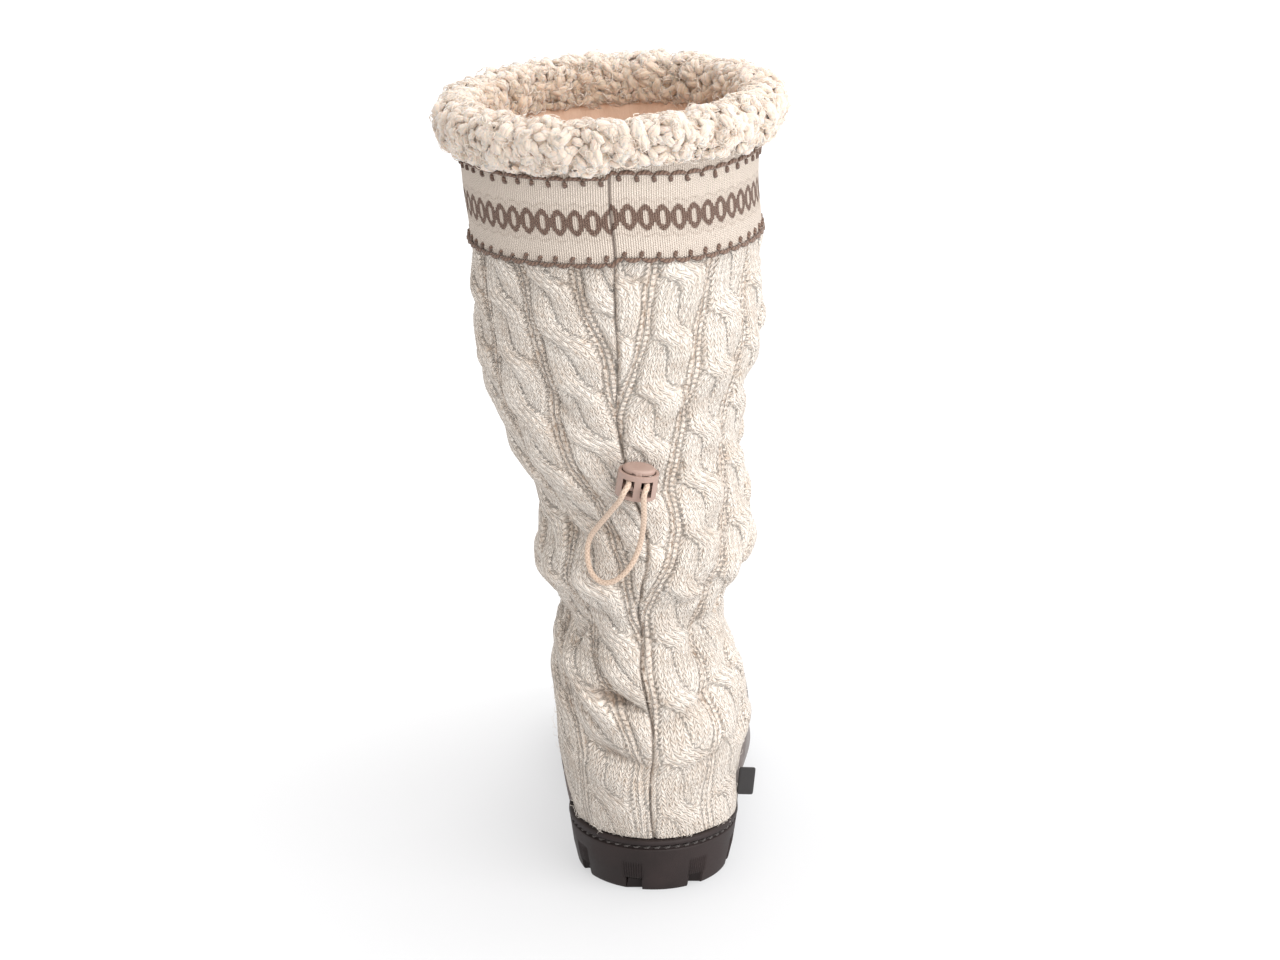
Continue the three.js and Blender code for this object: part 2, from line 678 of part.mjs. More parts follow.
// The folded label stands out from the knit at the rear end of the suede.
function buildLabel() {
  const z = LABEL.z;
  const section = levelAt(z).section;
  const x = outlineAt(section, 1, lowness(z), LABEL.y);
  const tab = new THREE.BoxGeometry(LABEL.reach, LABEL.thick, LABEL.tall);
  tab.translate(LABEL.reach / 2, 0, 0).rotateY(degrees(LABEL.droop)).rotateZ(degrees(LABEL.turn));
  return tab.translate(x + LABEL.gap, LABEL.y, z + soleTop(LABEL.y) - SOLE_HEIGHT);
}

const FINISH = {
  knit: { color: 0xd9cec4, roughness: 0.95 },
  suede: { color: 0x8f8a8a, roughness: 0.95 },
  fleece: { color: 0xe9dccf, roughness: 1 },
  rubber: { color: 0x3f3434, roughness: 0.7 },
  footbed: { color: 0xcdb8a4, roughness: 1 },
  plastic: { color: 0xb69c92, roughness: 0.4 },
  elastic: { color: 0xd7c6b7, roughness: 0.8 },
  ribbon: { color: 0x1d1b1c, roughness: 0.8 },
};

const boot = new THREE.Group();
boot.name = "slipper_boot";

function addPiece(name, finish, geometry, place) {
  const material = new THREE.MeshStandardMaterial({ ...FINISH[finish], flatShading: true });
  const mesh = new THREE.Mesh(place ? geometry.applyMatrix4(place) : geometry, material);
  mesh.name = name;
  boot.add(mesh);
}

addPiece("outsole", "rubber", buildOutsole());
addPiece("insole", "footbed", buildInsole());
addPiece("upper", "knit", buildUpper());
addPiece("vamp_overlay", "suede", buildOverlay());
addPiece("trim_band", "knit", buildBand());
addPiece("fleece_cuff", "fleece", buildCuff());
addPiece("side_label", "ribbon", buildLabel());
addPiece("lock_barrel", "plastic", buildBarrel(), lockPlace);
addPiece("lock_button", "plastic", buildButton(), lockPlace);
addPiece("draw_cord", "elastic", buildCord());

export default boot;
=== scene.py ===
"""Looks of a tall knitted slipper boot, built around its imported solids.

Lengths in this script are millimetres, as in the part's source, and meshes are scaled to metres as they
are made. Lights are placed in metres. +X is the outer side of the right foot, +Y the toe and +Z up.
"""

import math

import bmesh
import bpy
import numpy as np
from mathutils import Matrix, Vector


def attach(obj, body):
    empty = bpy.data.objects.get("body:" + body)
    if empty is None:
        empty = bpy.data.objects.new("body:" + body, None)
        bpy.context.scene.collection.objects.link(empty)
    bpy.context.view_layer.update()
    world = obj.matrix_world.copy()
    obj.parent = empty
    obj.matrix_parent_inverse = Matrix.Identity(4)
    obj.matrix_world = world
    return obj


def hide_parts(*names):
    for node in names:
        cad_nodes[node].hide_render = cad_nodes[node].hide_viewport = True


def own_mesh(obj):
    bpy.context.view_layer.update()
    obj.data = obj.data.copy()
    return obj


MM = 0.001
RNG = np.random.default_rng(7)

# Camera, found from the photograph: it looks along +Y from behind and above
CAMERA = {"target": (-6.3, 10.0, 186.7), "elevation": 17.3, "distance": 2150.0, "focal_px": 4620.0}
IMAGE_WIDTH = 1280
SENSOR = 36.0
CLIP_END = 20.0

# Sole and foot
SOLE_HEIGHT = 26.0
BALL_DROP = 3.5
BALL_SLOPE = (40, 130)
TOE_RISE = 7.0
TOE_SLOPE = (160, 240)
TOE_SPRING = 9.0
SPRING_SLOPE = (172, 250)
ARCH_RISE = 6.0
ARCH_BACK = (42, 58)
ARCH_FRONT = (84, 100)
LUG_DEPTH = 5.0
WAIST_STATION = 70.0
WAIST_REACH = 36.0
WAIST_PINCH = {"medial": 5.0, "lateral": 2.0}
BALL_START = 10.0
BALL_STATION = 140.0
TOE_SWING = 6.0
SWING_START = 80.0
SWING_END = 232.0
FOOT_FADE = (32, 102)
TOE_FADE = (82, 127)
FOLLOW_END = 112.0

# Upper and what is sewn to it
GAP = 0.3
UPPER_TOP = 366.0
COLLAR_TILT = 0.052
TILT_START = 215.0
COLLAR_CENTRE = -18.0
ANKLE_HEIGHT = 123.0
BAND_BOTTOM = 308.0
BAND_TOP = 355.0
BAND_OUT = 1.3
OVERLAY_OUT = 1.8
OVERLAY_ROLL = 4.6
OVERLAY_EDGE_ROUND = 1.8

# Knit: wales are counted round the boot from the middle of its front, and courses upwards
CABLES = 14
CABLE_REPEAT = 12
CABLE_SWING = 2.3
STRAND_HALF = 2.8
CROSSING = 26.5
CROSSING_SHARP = 1.6
WALE = 2.6
GUTTER_HALF = 0.95
COURSE = 2.5
CABLE_HEIGHT = 3.0
CROSSING_LIFT = 1.5
GUTTER_DEPTH = 2.8
PURL_HEIGHT = 0.9
PURL_LIFT = 0.5
PURL_PITCH = 0.66
JAG = 0.24
HEEL_DRIFT = 0.45
HEEL_END = 62.0
HEEL_CALM = 0.75
CALM_HEIGHTS = (58.0, 96.0)
CALM_LEVEL = -0.7
SEAM_DEPTH = 1.9
SEAM_WIDTH = 1.0

# Level sections of the upper, as in the part's source
SECTION_COLUMNS = (
    "z", "back", "front", "medial", "lateral",
    "ball_medial", "ball_lateral", "heel_cap", "toe_cap",
)
SECTION_ROWS = [
    (26, -37.8, 226, 38.2, 38.2, 43, 45.3, 48, 88),
    (36, -39.5, 229, 41, 39, 45, 48, 49, 90),
    (48, -40.5, 226, 44, 40.6, 45, 46, 50, 90),
    (58, -41.5, 215, 45.5, 43.2, 43.5, 42, 50, 90),
    (66, -42, 197, 46.3, 46, 42, 38.5, 51, 88),
    (74, -42, 172, 46.5, 46, 40.5, 35, 52, 80),
    (84, -41.5, 147, 46.5, 44.5, 39, 28, 53, 70),
    (96, -39.5, 124, 46.7, 39.5, 38, 26, 54, 62),
    (109, -36, 105, 46, 34, 38, 27, 55, 58),
    (123, -32, 90, 42.5, 32, 42.5, 32, 60, 61),
    (132, -34.5, 86, 48, 34.5, 48, 34.5, 60, 60),
    (141, -38, 85, 53, 40.5, 53, 40.5, 61, 61),
    (151, -41.5, 84, 55.5, 44.5, 55.5, 44.5, 62, 62),
    (161, -42, 82, 53, 47, 53, 47, 62, 62),
    (172, -41, 78, 51.7, 45.6, 51.7, 45.6, 60, 60),
    (184, -40.5, 75, 55, 43.7, 55, 43.7, 58, 58),
    (200, -41.5, 73, 64, 41.2, 64, 41.2, 57, 57),
    (215, -44, 75, 69.5, 41.1, 69.5, 41.1, 60, 60),
    (230, -47, 77, 75, 42, 75, 42, 62, 62),
    (250, -50, 79, 81.5, 49, 81.5, 49, 65, 65),
    (265, -52, 80, 82.5, 50.3, 82.5, 50.3, 66, 66),
    (285, -53, 80, 83.3, 48.6, 83.3, 48.6, 67, 67),
    (307, -53.5, 80, 83, 48.2, 83, 48.2, 67, 67),
    (332, -54, 80, 86, 46.5, 86, 46.5, 67, 67),
    (366, -56, 82, 88.5, 48.5, 88.5, 48.5, 69, 69),
]
SECTIONS = dict(zip(SECTION_COLUMNS, np.array(SECTION_ROWS, float).T))

# Slouch folds: distance round from the back seam, height, half length, half width, tilt and depth
FOLDS = [
    (-26, 106, 30, 6, -36, -4.5),
    (-24, 91, 26, 8, -34, 3),
    (-27, 70, 22, 5, -24, -3),
    (-45, 134, 24, 6, -22, -3.5),
    (-42, 150, 24, 9, -16, 2.5),
    (38, 120, 26, 6, 24, -3.5),
    (36, 105, 26, 9, 22, 2.5),
    (44, 154, 26, 9, 14, 2.5),
    (40, 203, 30, 7, 20, -3.5),
    (-44, 174, 24, 6, -28, -3),
    (-48, 218, 30, 9, -38, 2.5),
    (60, 74, 24, 6, 28, -2.5),
    (116, 42, 30, 14, 0, 5),
]

# Sharper creases in the knit between those folds, in the same columns
CREASES = [
    (-16, 94, 19, 3.0, -14, -4.2),
    (-22, 105, 22, 5.0, -30, 2.4),
    (-35, 87, 17, 2.8, -47, -4.0),
    (-28, 80, 16, 5.0, -40, 1.8),
    (-40, 118, 10, 2.6, 45, -3.4),
    (-17, 66, 14, 2.6, -16, -3.0),
    (-24, 56, 20, 6.0, -16, 1.6),
    (26, 92, 24, 3.6, 24, -2.4),
    (30, 63, 20, 3.6, 16, -2.2),
    (24, 76, 22, 6.0, 20, 1.4),
    (-30, 240, 26, 3.6, -44, -2.4),
    (-24, 262, 26, 8.0, -40, 1.4),
    (34, 232, 20, 4.5, 26, -2.2),
    (-30, 136, 20, 3.2, -20, -2.6),
    (28, 142, 20, 3.6, 16, -2.4),
    (-26, 178, 20, 3.6, -24, -2.2),
    (30, 176, 20, 4.0, 18, -2.0),
]

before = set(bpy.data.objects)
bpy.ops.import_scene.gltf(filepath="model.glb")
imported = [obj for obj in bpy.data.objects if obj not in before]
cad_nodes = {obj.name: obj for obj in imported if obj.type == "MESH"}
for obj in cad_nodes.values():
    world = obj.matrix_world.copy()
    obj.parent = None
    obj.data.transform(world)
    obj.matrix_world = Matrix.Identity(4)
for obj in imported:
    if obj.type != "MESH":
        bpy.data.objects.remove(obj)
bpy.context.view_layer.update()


def mix(a, b, t):
    """a at t = 0, b at t = 1, in a straight line between."""
    return a + (b - a) * t


def smooth(low, high, v):
    """0 below low, 1 above high, and the cubic 3t^2 - 2t^3 between."""
    t = np.clip((v - low) / (high - low), 0, 1)
    return t * t * (3 - 2 * t)


def bell(v, middle, reach):
    """A Gaussian hump of height 1 about middle, down to 1/e at reach."""
    return np.exp(-(((v - middle) / reach) ** 2))


def cap(d, length):
    """A quarter ellipse: how far a rounded end lets the width reach at distance d from its tip."""
    return np.sqrt(np.maximum(0, 1 - (1 - np.clip(d / length, 0, 1)) ** 2))


def sole_top(y):
    """Height of the sole's ledge: it drops to the ball and rises to the toe, each by a smooth step."""
    return SOLE_HEIGHT - BALL_DROP * smooth(*BALL_SLOPE, y) + TOE_RISE * smooth(*TOE_SLOPE, y)


def sole_bottom(y):
    """Height of the tread: flat, with a raised arch and a sprung toe, each by a smooth step."""
    arch = smooth(*ARCH_BACK, y) - smooth(*ARCH_FRONT, y)
    return ARCH_RISE * arch + TOE_SPRING * smooth(*SPRING_SLOPE, y)


def section_at(name, z):
    """A column of the section table on a cubic curve through its rows that never overshoots them."""
    x, y = SECTIONS["z"], SECTIONS[name]
    step = np.diff(x)
    slope = np.diff(y) / step
    tangent = np.concatenate([slope[:1], np.zeros(len(y) - 2), slope[-1:]])
    same = slope[:-1] * slope[1:] > 0
    total = np.where(same, slope[:-1] + slope[1:], 1)
    tangent[1:-1] = np.where(same, 2 * slope[:-1] * slope[1:] / total, 0)
    k = np.clip(np.searchsorted(x, z, side="right") - 1, 0, len(x) - 2)
    t = np.clip((z - x[k]) / step[k], 0, 1)
    bend = t * (1 - t) ** 2 * tangent[k] - t * t * (1 - t) * tangent[k + 1]
    return mix(y[k], y[k + 1], t * t * (3 - 2 * t)) + step[k] * bend


def half_outline(section, side, low, steps=240):
    """One side of each section from heel to toe: width is the mix of heel and ball reach, less the waist's
    bell, times a quarter ellipse at each end. Returns x, y and the length walked."""
    heel, ball = ("lateral", "ball_lateral") if side > 0 else ("medial", "ball_medial")
    share = (1 - np.cos(np.pi * np.arange(steps + 1) / steps)) / 2
    col = {name: np.asarray(v, float)[:, None] for name, v in section.items()}
    low = np.asarray(low, float)[:, None]
    y = mix(col["back"], col["front"], share)
    centre = (col["lateral"] - col["medial"]) / 2
    ends = cap(y - col["back"], col["heel_cap"]) * cap(col["front"] - y, col["toe_cap"])
    reach = mix(col[heel], col[ball], smooth(BALL_START, BALL_STATION, y)) - side * centre
    pinch = WAIST_PINCH[heel] * low * bell(y, WAIST_STATION, WAIST_REACH)
    swing = -TOE_SWING * smooth(SWING_START, SWING_END, y)
    x = centre + low * swing + side * (reach - pinch) * ends
    walked = np.cumsum(np.hypot(np.diff(x, axis=1), np.diff(y, axis=1)), axis=1)
    return x, y, np.pad(walked, ((0, 0), (1, 0)))


def interp_rows(at, xs, values):
    """Linear interpolation of each row of values at its own places."""
    shift = np.arange(len(xs))[:, None] * (xs.max() * 2 + 1)
    return np.interp((at + shift).ravel(), (xs + shift).ravel(), values.ravel()).reshape(at.shape)


def levels(z):
    """The level sections at heights z, with how much of the foot's swing and waist they have."""
    section = {name: section_at(name, z) for name in SECTION_COLUMNS if name != "z"}
    return section, 1 - smooth(*FOOT_FADE, z)


def ankle_half():
    """Half the way round the upper at the ankle."""
    section, low = levels(np.array([ANKLE_HEIGHT]))
    return np.mean([half_outline(section, side, low)[2][0, -1] for side in (1, -1)])


ANKLE_HALF = ankle_half()


def master_skin(z, columns):
    """The plain surface of the upper over heights z and columns s from -1 through the back seam at 0 to 1:
    each column walks round its section by s times the ankle's half length, and the foot's extra length goes
    to the toe by the cube of s. Returns points and the signed distance round."""
    s = np.linspace(-1, 1, columns)
    section, low = levels(z)
    share = mix(np.abs(s), np.abs(s) ** 3, 1 - smooth(*TOE_FADE, z)[:, None])
    points = np.zeros((len(z), columns, 3))
    around = np.zeros((len(z), columns))
    for side, chosen in ((1, s >= 0), (-1, s < 0)):
        x, y, walked = half_outline(section, side, low)
        extra = (walked[:, -1:] - ANKLE_HALF) * share[:, chosen]
        distance = np.abs(s[chosen]) * ANKLE_HALF + extra
        points[:, chosen, 0] = interp_rows(distance, walked, x)
        points[:, chosen, 1] = interp_rows(distance, walked, y)
        around[:, chosen] = side * distance
    px, py = points[..., 0], points[..., 1]
    follow = (sole_top(py) - SOLE_HEIGHT) * (1 - smooth(SOLE_HEIGHT, FOLLOW_END, z))[:, None]
    rise = COLLAR_TILT * (px - COLLAR_CENTRE) * smooth(TILT_START, BAND_BOTTOM, z)[:, None]
    points[..., 2] = z[:, None] + follow + rise + GAP
    return points, around


MASTER_STEP = 1.0
MASTER_Z = np.arange(SOLE_HEIGHT, UPPER_TOP + MASTER_STEP / 2, MASTER_STEP)
MASTER_COLUMNS = 1201
MASTER_POINTS, MASTER_AROUND = master_skin(MASTER_Z, MASTER_COLUMNS)


def master_normals():
    """Outward unit normals: the cross product of the steps along columns and along heights."""
    ring = np.concatenate([MASTER_POINTS[:, -2:-1], MASTER_POINTS, MASTER_POINTS[:, 1:2]], axis=1)
    across = ring[:, 2:] - ring[:, :-2]
    up = np.gradient(MASTER_POINTS, axis=0)
    normal = np.cross(across, up)
    return normal / np.linalg.norm(normal, axis=-1, keepdims=True)


MASTER_NORMALS = master_normals()


def sample(table, s, z):
    """Bilinear value of a master table at columns s and heights z."""
    i = np.clip((z - SOLE_HEIGHT) / MASTER_STEP, 0, len(MASTER_Z) - 1.001)
    j = np.clip((s + 1) / 2 * (MASTER_COLUMNS - 1), 0, MASTER_COLUMNS - 1.001)
    i0, j0 = i.astype(int), j.astype(int)
    a, b = i - i0, j - j0
    if table.ndim == 3:
        a, b = a[..., None], b[..., None]
    low = mix(table[i0, j0], table[i0, j0 + 1], b)
    high = mix(table[i0 + 1, j0], table[i0 + 1, j0 + 1], b)
    return mix(low, high, a)


def fold_at(around, z, folds):
    """Sum of the slouch folds: each a Gaussian ridge or trough along its own tilted line."""
    out = np.zeros_like(z)
    for where, height, long, wide, tilt, depth in folds:
        turn = math.radians(tilt)
        da, dz = around - where, z - height
        along = da * math.cos(turn) + dz * math.sin(turn)
        across = dz * math.cos(turn) - da * math.sin(turn)
        out = out + depth * bell(along, 0, long) * bell(across, 0, wide)
    return out


def skin(s, z, out):
    """Points at a distance out from the folded surface of the upper, along its normal."""
    s, z = np.broadcast_arrays(np.asarray(s, float), np.asarray(z, float))
    normal = sample(MASTER_NORMALS, s, z)
    lift = fold_at(sample(MASTER_AROUND, s, z), z, FOLDS) + out
    return sample(MASTER_POINTS, s, z) + normal * np.asarray(lift)[..., None]


def grid_quads(rows, columns, wrap=False):
    """Corner indices of the quads of a grid of points, closed from last column to first if wrapped."""
    spans = columns if wrap else columns - 1
    i, j = np.meshgrid(np.arange(rows - 1), np.arange(spans), indexing="ij")
    k = (j + 1) % columns
    quads = np.stack([i * columns + j, i * columns + k, (i + 1) * columns + k, (i + 1) * columns + j], -1)
    return quads.reshape(-1, 4)


def stand(name, data):
    """An object that holds the data, put into the scene."""
    made = bpy.data.objects.new(name, data)
    bpy.context.scene.collection.objects.link(made)
    return made


def make_mesh(name, points, quads, material, uv=None, values=None):
    """A smooth mesh object from points in millimetres and quads, with an optional UV map and point values."""
    mesh = bpy.data.meshes.new(name)
    points = np.asarray(points, float).reshape(-1, 3) * MM
    quads = np.asarray(quads, np.int32)
    mesh.vertices.add(len(points))
    mesh.vertices.foreach_set("co", points.ravel())
    mesh.loops.add(quads.size)
    mesh.loops.foreach_set("vertex_index", quads.ravel())
    mesh.polygons.add(len(quads))
    mesh.polygons.foreach_set("loop_start", np.arange(0, quads.size, 4, dtype=np.int32))
    mesh.update(calc_edges=True)
    mesh.polygons.foreach_set("use_smooth", np.ones(len(quads), bool))
    if uv is not None:
        layer = mesh.uv_layers.new(name="UVMap")
        layer.data.foreach_set("uv", uv.reshape(-1, 2)[quads.ravel()].astype(np.float32).ravel())
    for key, value in (values or {}).items():
        attribute = mesh.attributes.new(key, "FLOAT", "POINT")
        attribute.data.foreach_set("value", np.asarray(value, np.float32).ravel())
    mesh.validate()
    mesh.materials.append(material)
    return stand(name, mesh)


def unit(v):
    """Vectors scaled to length 1."""
    return v / np.maximum(np.linalg.norm(v, axis=-1, keepdims=True), 1e-9)


def tube_points(paths, radius, sides, reference):
    """Rings of points round each path: the ring's two axes are square to the path, the first from the cross
    product of the path's direction with the reference direction."""
    direction = unit(np.gradient(paths, axis=1))
    first = unit(np.cross(direction, reference))
    second = np.cross(direction, first)
    angle = np.arange(sides) * 2 * np.pi / sides
    ring = first[:, :, None] * np.cos(angle)[:, None] + second[:, :, None] * np.sin(angle)[:, None]
    return paths[:, :, None] + ring * radius[..., None, None]


def tube_quads(count, steps, sides):
    """Quads of many tubes that share one layout, as one joined mesh."""
    one = grid_quads(steps, sides, wrap=True)
    return (one[None] + np.arange(count)[:, None, None] * steps * sides).reshape(-1, 4)


def tube_uv(count, sides, along):
    """UV of many tubes that share one layout: turns round, and the given values along."""
    uv = np.stack(np.broadcast_arrays(np.arange(sides) / sides, along[:, None]), -1)
    return np.broadcast_to(uv, (count, len(along), sides, 2))


# Colours of the knit and the band, as linear light
IVORY = (0.945, 0.88, 0.805, 1)
OATMEAL = (0.62, 0.495, 0.39, 1)
BARK = (0.30, 0.205, 0.145, 1)
TAUPE = (0.42, 0.33, 0.265, 1)
UMBER = (0.08, 0.041, 0.029, 1)
CREAM = (0.87, 0.765, 0.67, 1)
RUSSET = (0.25, 0.15, 0.108, 1)

# Stitches of the band to a repeat of its pattern, and the height of its courses
BAND_STITCHES = 7.0
BAND_COURSE = 1.1


class Finish:
    """A material's node graph, with a short method for each kind of node used here."""

    def __init__(self, name, roughness, sheen=0.0):
        """A new material with its roughness and sheen."""
        self.material = bpy.data.materials.new(name)
        self.material.use_nodes = True
        self.tree = self.material.node_tree
        self.shader = self.tree.nodes["Principled BSDF"]
        self.shader.inputs["Roughness"].default_value = roughness
        self.shader.inputs["Sheen Weight"].default_value = sheen
        self.shader.inputs["Sheen Roughness"].default_value = 0.5
        self.place = self.node("ShaderNodeTexCoord")

    def put(self, socket, value):
        """Links a socket to an output, or sets it to a plain value."""
        if isinstance(value, bpy.types.NodeSocket):
            self.tree.links.new(value, socket)
        else:
            socket.default_value = value

    def node(self, kind, **settings):
        """A node with its settings."""
        made = self.tree.nodes.new(kind)
        for key, value in settings.items():
            setattr(made, key, value)
        return made

    def math(self, operation, *values):
        """One arithmetic step."""
        made = self.node("ShaderNodeMath", operation=operation)
        for socket, value in zip(made.inputs, values):
            self.put(socket, value)
        return made.outputs[0]

    def uv(self):
        """The two values of the piece's own UV map."""
        made = self.node("ShaderNodeSeparateXYZ")
        self.put(made.inputs[0], self.place.outputs["UV"])
        return made.outputs[0], made.outputs[1]

    def stretched(self, source, *scale):
        """Coordinates multiplied along each axis."""
        made = self.node("ShaderNodeVectorMath", operation="MULTIPLY")
        self.put(made.inputs[0], self.place.outputs[source])
        self.put(made.inputs[1], scale)
        return made.outputs[0]

    def value(self, name):
        """A value kept on the piece's points."""
        return self.node("ShaderNodeAttribute", attribute_name=name).outputs["Fac"]

    def noise(self, vector, scale, detail=2.0, roughness=0.5):
        """Fractal noise from 0 to 1."""
        made = self.node("ShaderNodeTexNoise")
        self.put(made.inputs["Vector"], vector)
        self.put(made.inputs["Scale"], scale)
        self.put(made.inputs["Detail"], detail)
        self.put(made.inputs["Roughness"], roughness)
        return made.outputs["Fac"]

    def cloud(self, scale, detail=2.0, roughness=0.5):
        """Fractal noise through the piece's own space."""
        return self.noise(self.place.outputs["Object"], scale, detail, roughness)

    def cells(self, vector, scale):
        """Distance to the nearest point of a random scatter."""
        made = self.node("ShaderNodeTexVoronoi")
        self.put(made.inputs["Vector"], vector)
        self.put(made.inputs["Scale"], scale)
        return made.outputs["Distance"]

    def step(self, value, low, high, bottom=0.0, top=1.0):
        """A smooth step of a value between two limits."""
        made = self.node("ShaderNodeMapRange", interpolation_type="SMOOTHSTEP")
        for socket, given in zip(made.inputs, (value, low, high, bottom, top)):
            self.put(socket, given)
        return made.outputs[0]

    def mix(self, share, a, b):
        """Two colours mixed by a share."""
        made = self.node("ShaderNodeMix", data_type="RGBA")
        self.put(made.inputs[0], share)
        self.put(made.inputs[6], a)
        self.put(made.inputs[7], b)
        return made.outputs[2]

    def bump(self, height, distance, strength=1.0, normal=None):
        """A bumped normal: height 1 stands for a distance in millimetres."""
        made = self.node("ShaderNodeBump")
        self.put(made.inputs["Strength"], strength)
        self.put(made.inputs["Distance"], distance * MM)
        self.put(made.inputs["Height"], height)
        if normal is not None:
            self.put(made.inputs["Normal"], normal)
        return made.outputs[0]

    def done(self, colour, normal=None):
        """Sets the colour and the normal, and gives the material."""
        self.put(self.shader.inputs["Base Color"], colour)
        if normal is not None:
            self.put(self.shader.inputs["Normal"], normal)
        return self.material


def cosine(finish, value, turns=1.0):
    """Half of 1 plus the cosine of a value counted in turns."""
    angle = finish.math("MULTIPLY", value, 2 * math.pi * turns)
    return finish.math("MULTIPLY_ADD", finish.math("COSINE", angle), 0.5, 0.5)


def knit_finish():
    """Marled yarn: each wale is a row of slanted legs in a V, and the gutters are rows of purl bumps. The
    dark ply shows as flecks along the stitches and in the gaps between them, and painted shade darkens those
    gaps, most of all in the gutters. Painted shade also darkens the hollows at the strands' edges, in the
    gutters and along the back seam, and the creases of the folds."""
    f = Finish("marled_cable_knit", 0.95, 0.2)
    u, v = f.uv()
    purl = f.value("purl")
    hollow = f.value("hollow")
    crease = f.value("crease")
    stray = f.noise(f.stretched("UV", 0.5, 0.45, 1), 1.0, 3.0)
    u = f.math("MULTIPLY_ADD", stray, 0.5, f.math("MULTIPLY", u, 0.85))
    v = f.math("MULTIPLY_ADD", stray, 0.9, v)
    off = f.math("ABSOLUTE", f.math("SUBTRACT", f.math("FRACT", u), 0.5))
    leg = f.math("SINE", f.math("MULTIPLY", off, 2 * math.pi))
    leg = f.math("MAXIMUM", leg, f.step(off, 0.0, 0.3, 0.35, 0.0))
    slant = f.math("SUBTRACT", v, f.math("MULTIPLY", off, 1.7))
    ripple = f.math("MULTIPLY_ADD", f.math("POWER", cosine(f, slant), 0.7), 0.85, 0.15)
    stitch = f.math("MULTIPLY", f.math("POWER", f.math("MAXIMUM", leg, 0.0), 0.6), ripple)
    shifted = f.math("MULTIPLY_ADD", f.math("FLOOR", u), 0.5, v)
    bumps = f.math("POWER", f.math("MULTIPLY", cosine(f, f.math("ADD", u, 0.5)), cosine(f, shifted)), 0.5)
    shape = f.math("MULTIPLY_ADD", purl, f.math("SUBTRACT", bumps, stitch), stitch)
    speck = f.noise(f.stretched("UV", 1.0, 0.8, 1), 1.1, 2.0, 0.6)
    ply = f.noise(f.stretched("UV", 3.2, 0.6, 1), 1.0, 3.0, 0.65)
    cloud = f.cloud(75.0, 4.0, 0.6)
    # Painted shade in the pits between the stitches, flecked with the dark ply, and stronger in the hollows.
    gap = f.math("MULTIPLY", f.step(shape, 0.05, 0.42, 1.0, 0.0), f.step(speck, 0.42, 0.6, 0.1, 1.0))
    gap = f.math("MULTIPLY", gap, f.math("MULTIPLY_ADD", hollow, 0.3, 0.6))
    marl_and_shade = f.math("MULTIPLY", f.step(cloud, 0.4, 0.68), 0.3)
    marl_and_shade = f.math("MULTIPLY_ADD", f.step(ply, 0.45, 0.66), 0.5, marl_and_shade)
    # Painted shade: the hollows of the gutters, the strands' edges and the back seam lean towards oatmeal.
    marl_and_shade = f.math("MULTIPLY_ADD", hollow, 0.2, marl_and_shade)
    colour = f.mix(f.math("MINIMUM", marl_and_shade, 1.0), IVORY, OATMEAL)
    colour = f.mix(f.math("MINIMUM", gap, 0.9), colour, BARK)
    # Painted shade: the hollows darken a little more towards bark.
    colour = f.mix(f.math("MULTIPLY", hollow, 0.09), colour, BARK)
    # Painted shade in the creases of the folds, and the dark line of the back seam.
    colour = f.mix(f.math("MULTIPLY", crease, 0.6), colour, BARK)
    fibre = f.cloud(1900.0, 2.0, 0.7)
    return f.done(colour, f.bump(f.math("MULTIPLY_ADD", fibre, 0.35, shape), 1.5))


def lining_finish():
    """Smooth brushed lining: a soft mottle and a fine nap."""
    f = Finish("brushed_lining", 0.9, 0.3)
    mottle = f.noise(f.stretched("Object", 1, 1, 0.6), 120.0, 4.0)
    colour = f.mix(mottle, (0.64, 0.425, 0.30, 1), (0.86, 0.655, 0.515, 1))
    return f.done(colour, f.bump(f.noise(f.stretched("Object", 1, 1, 0.4), 1400.0, 2.0), 0.3))


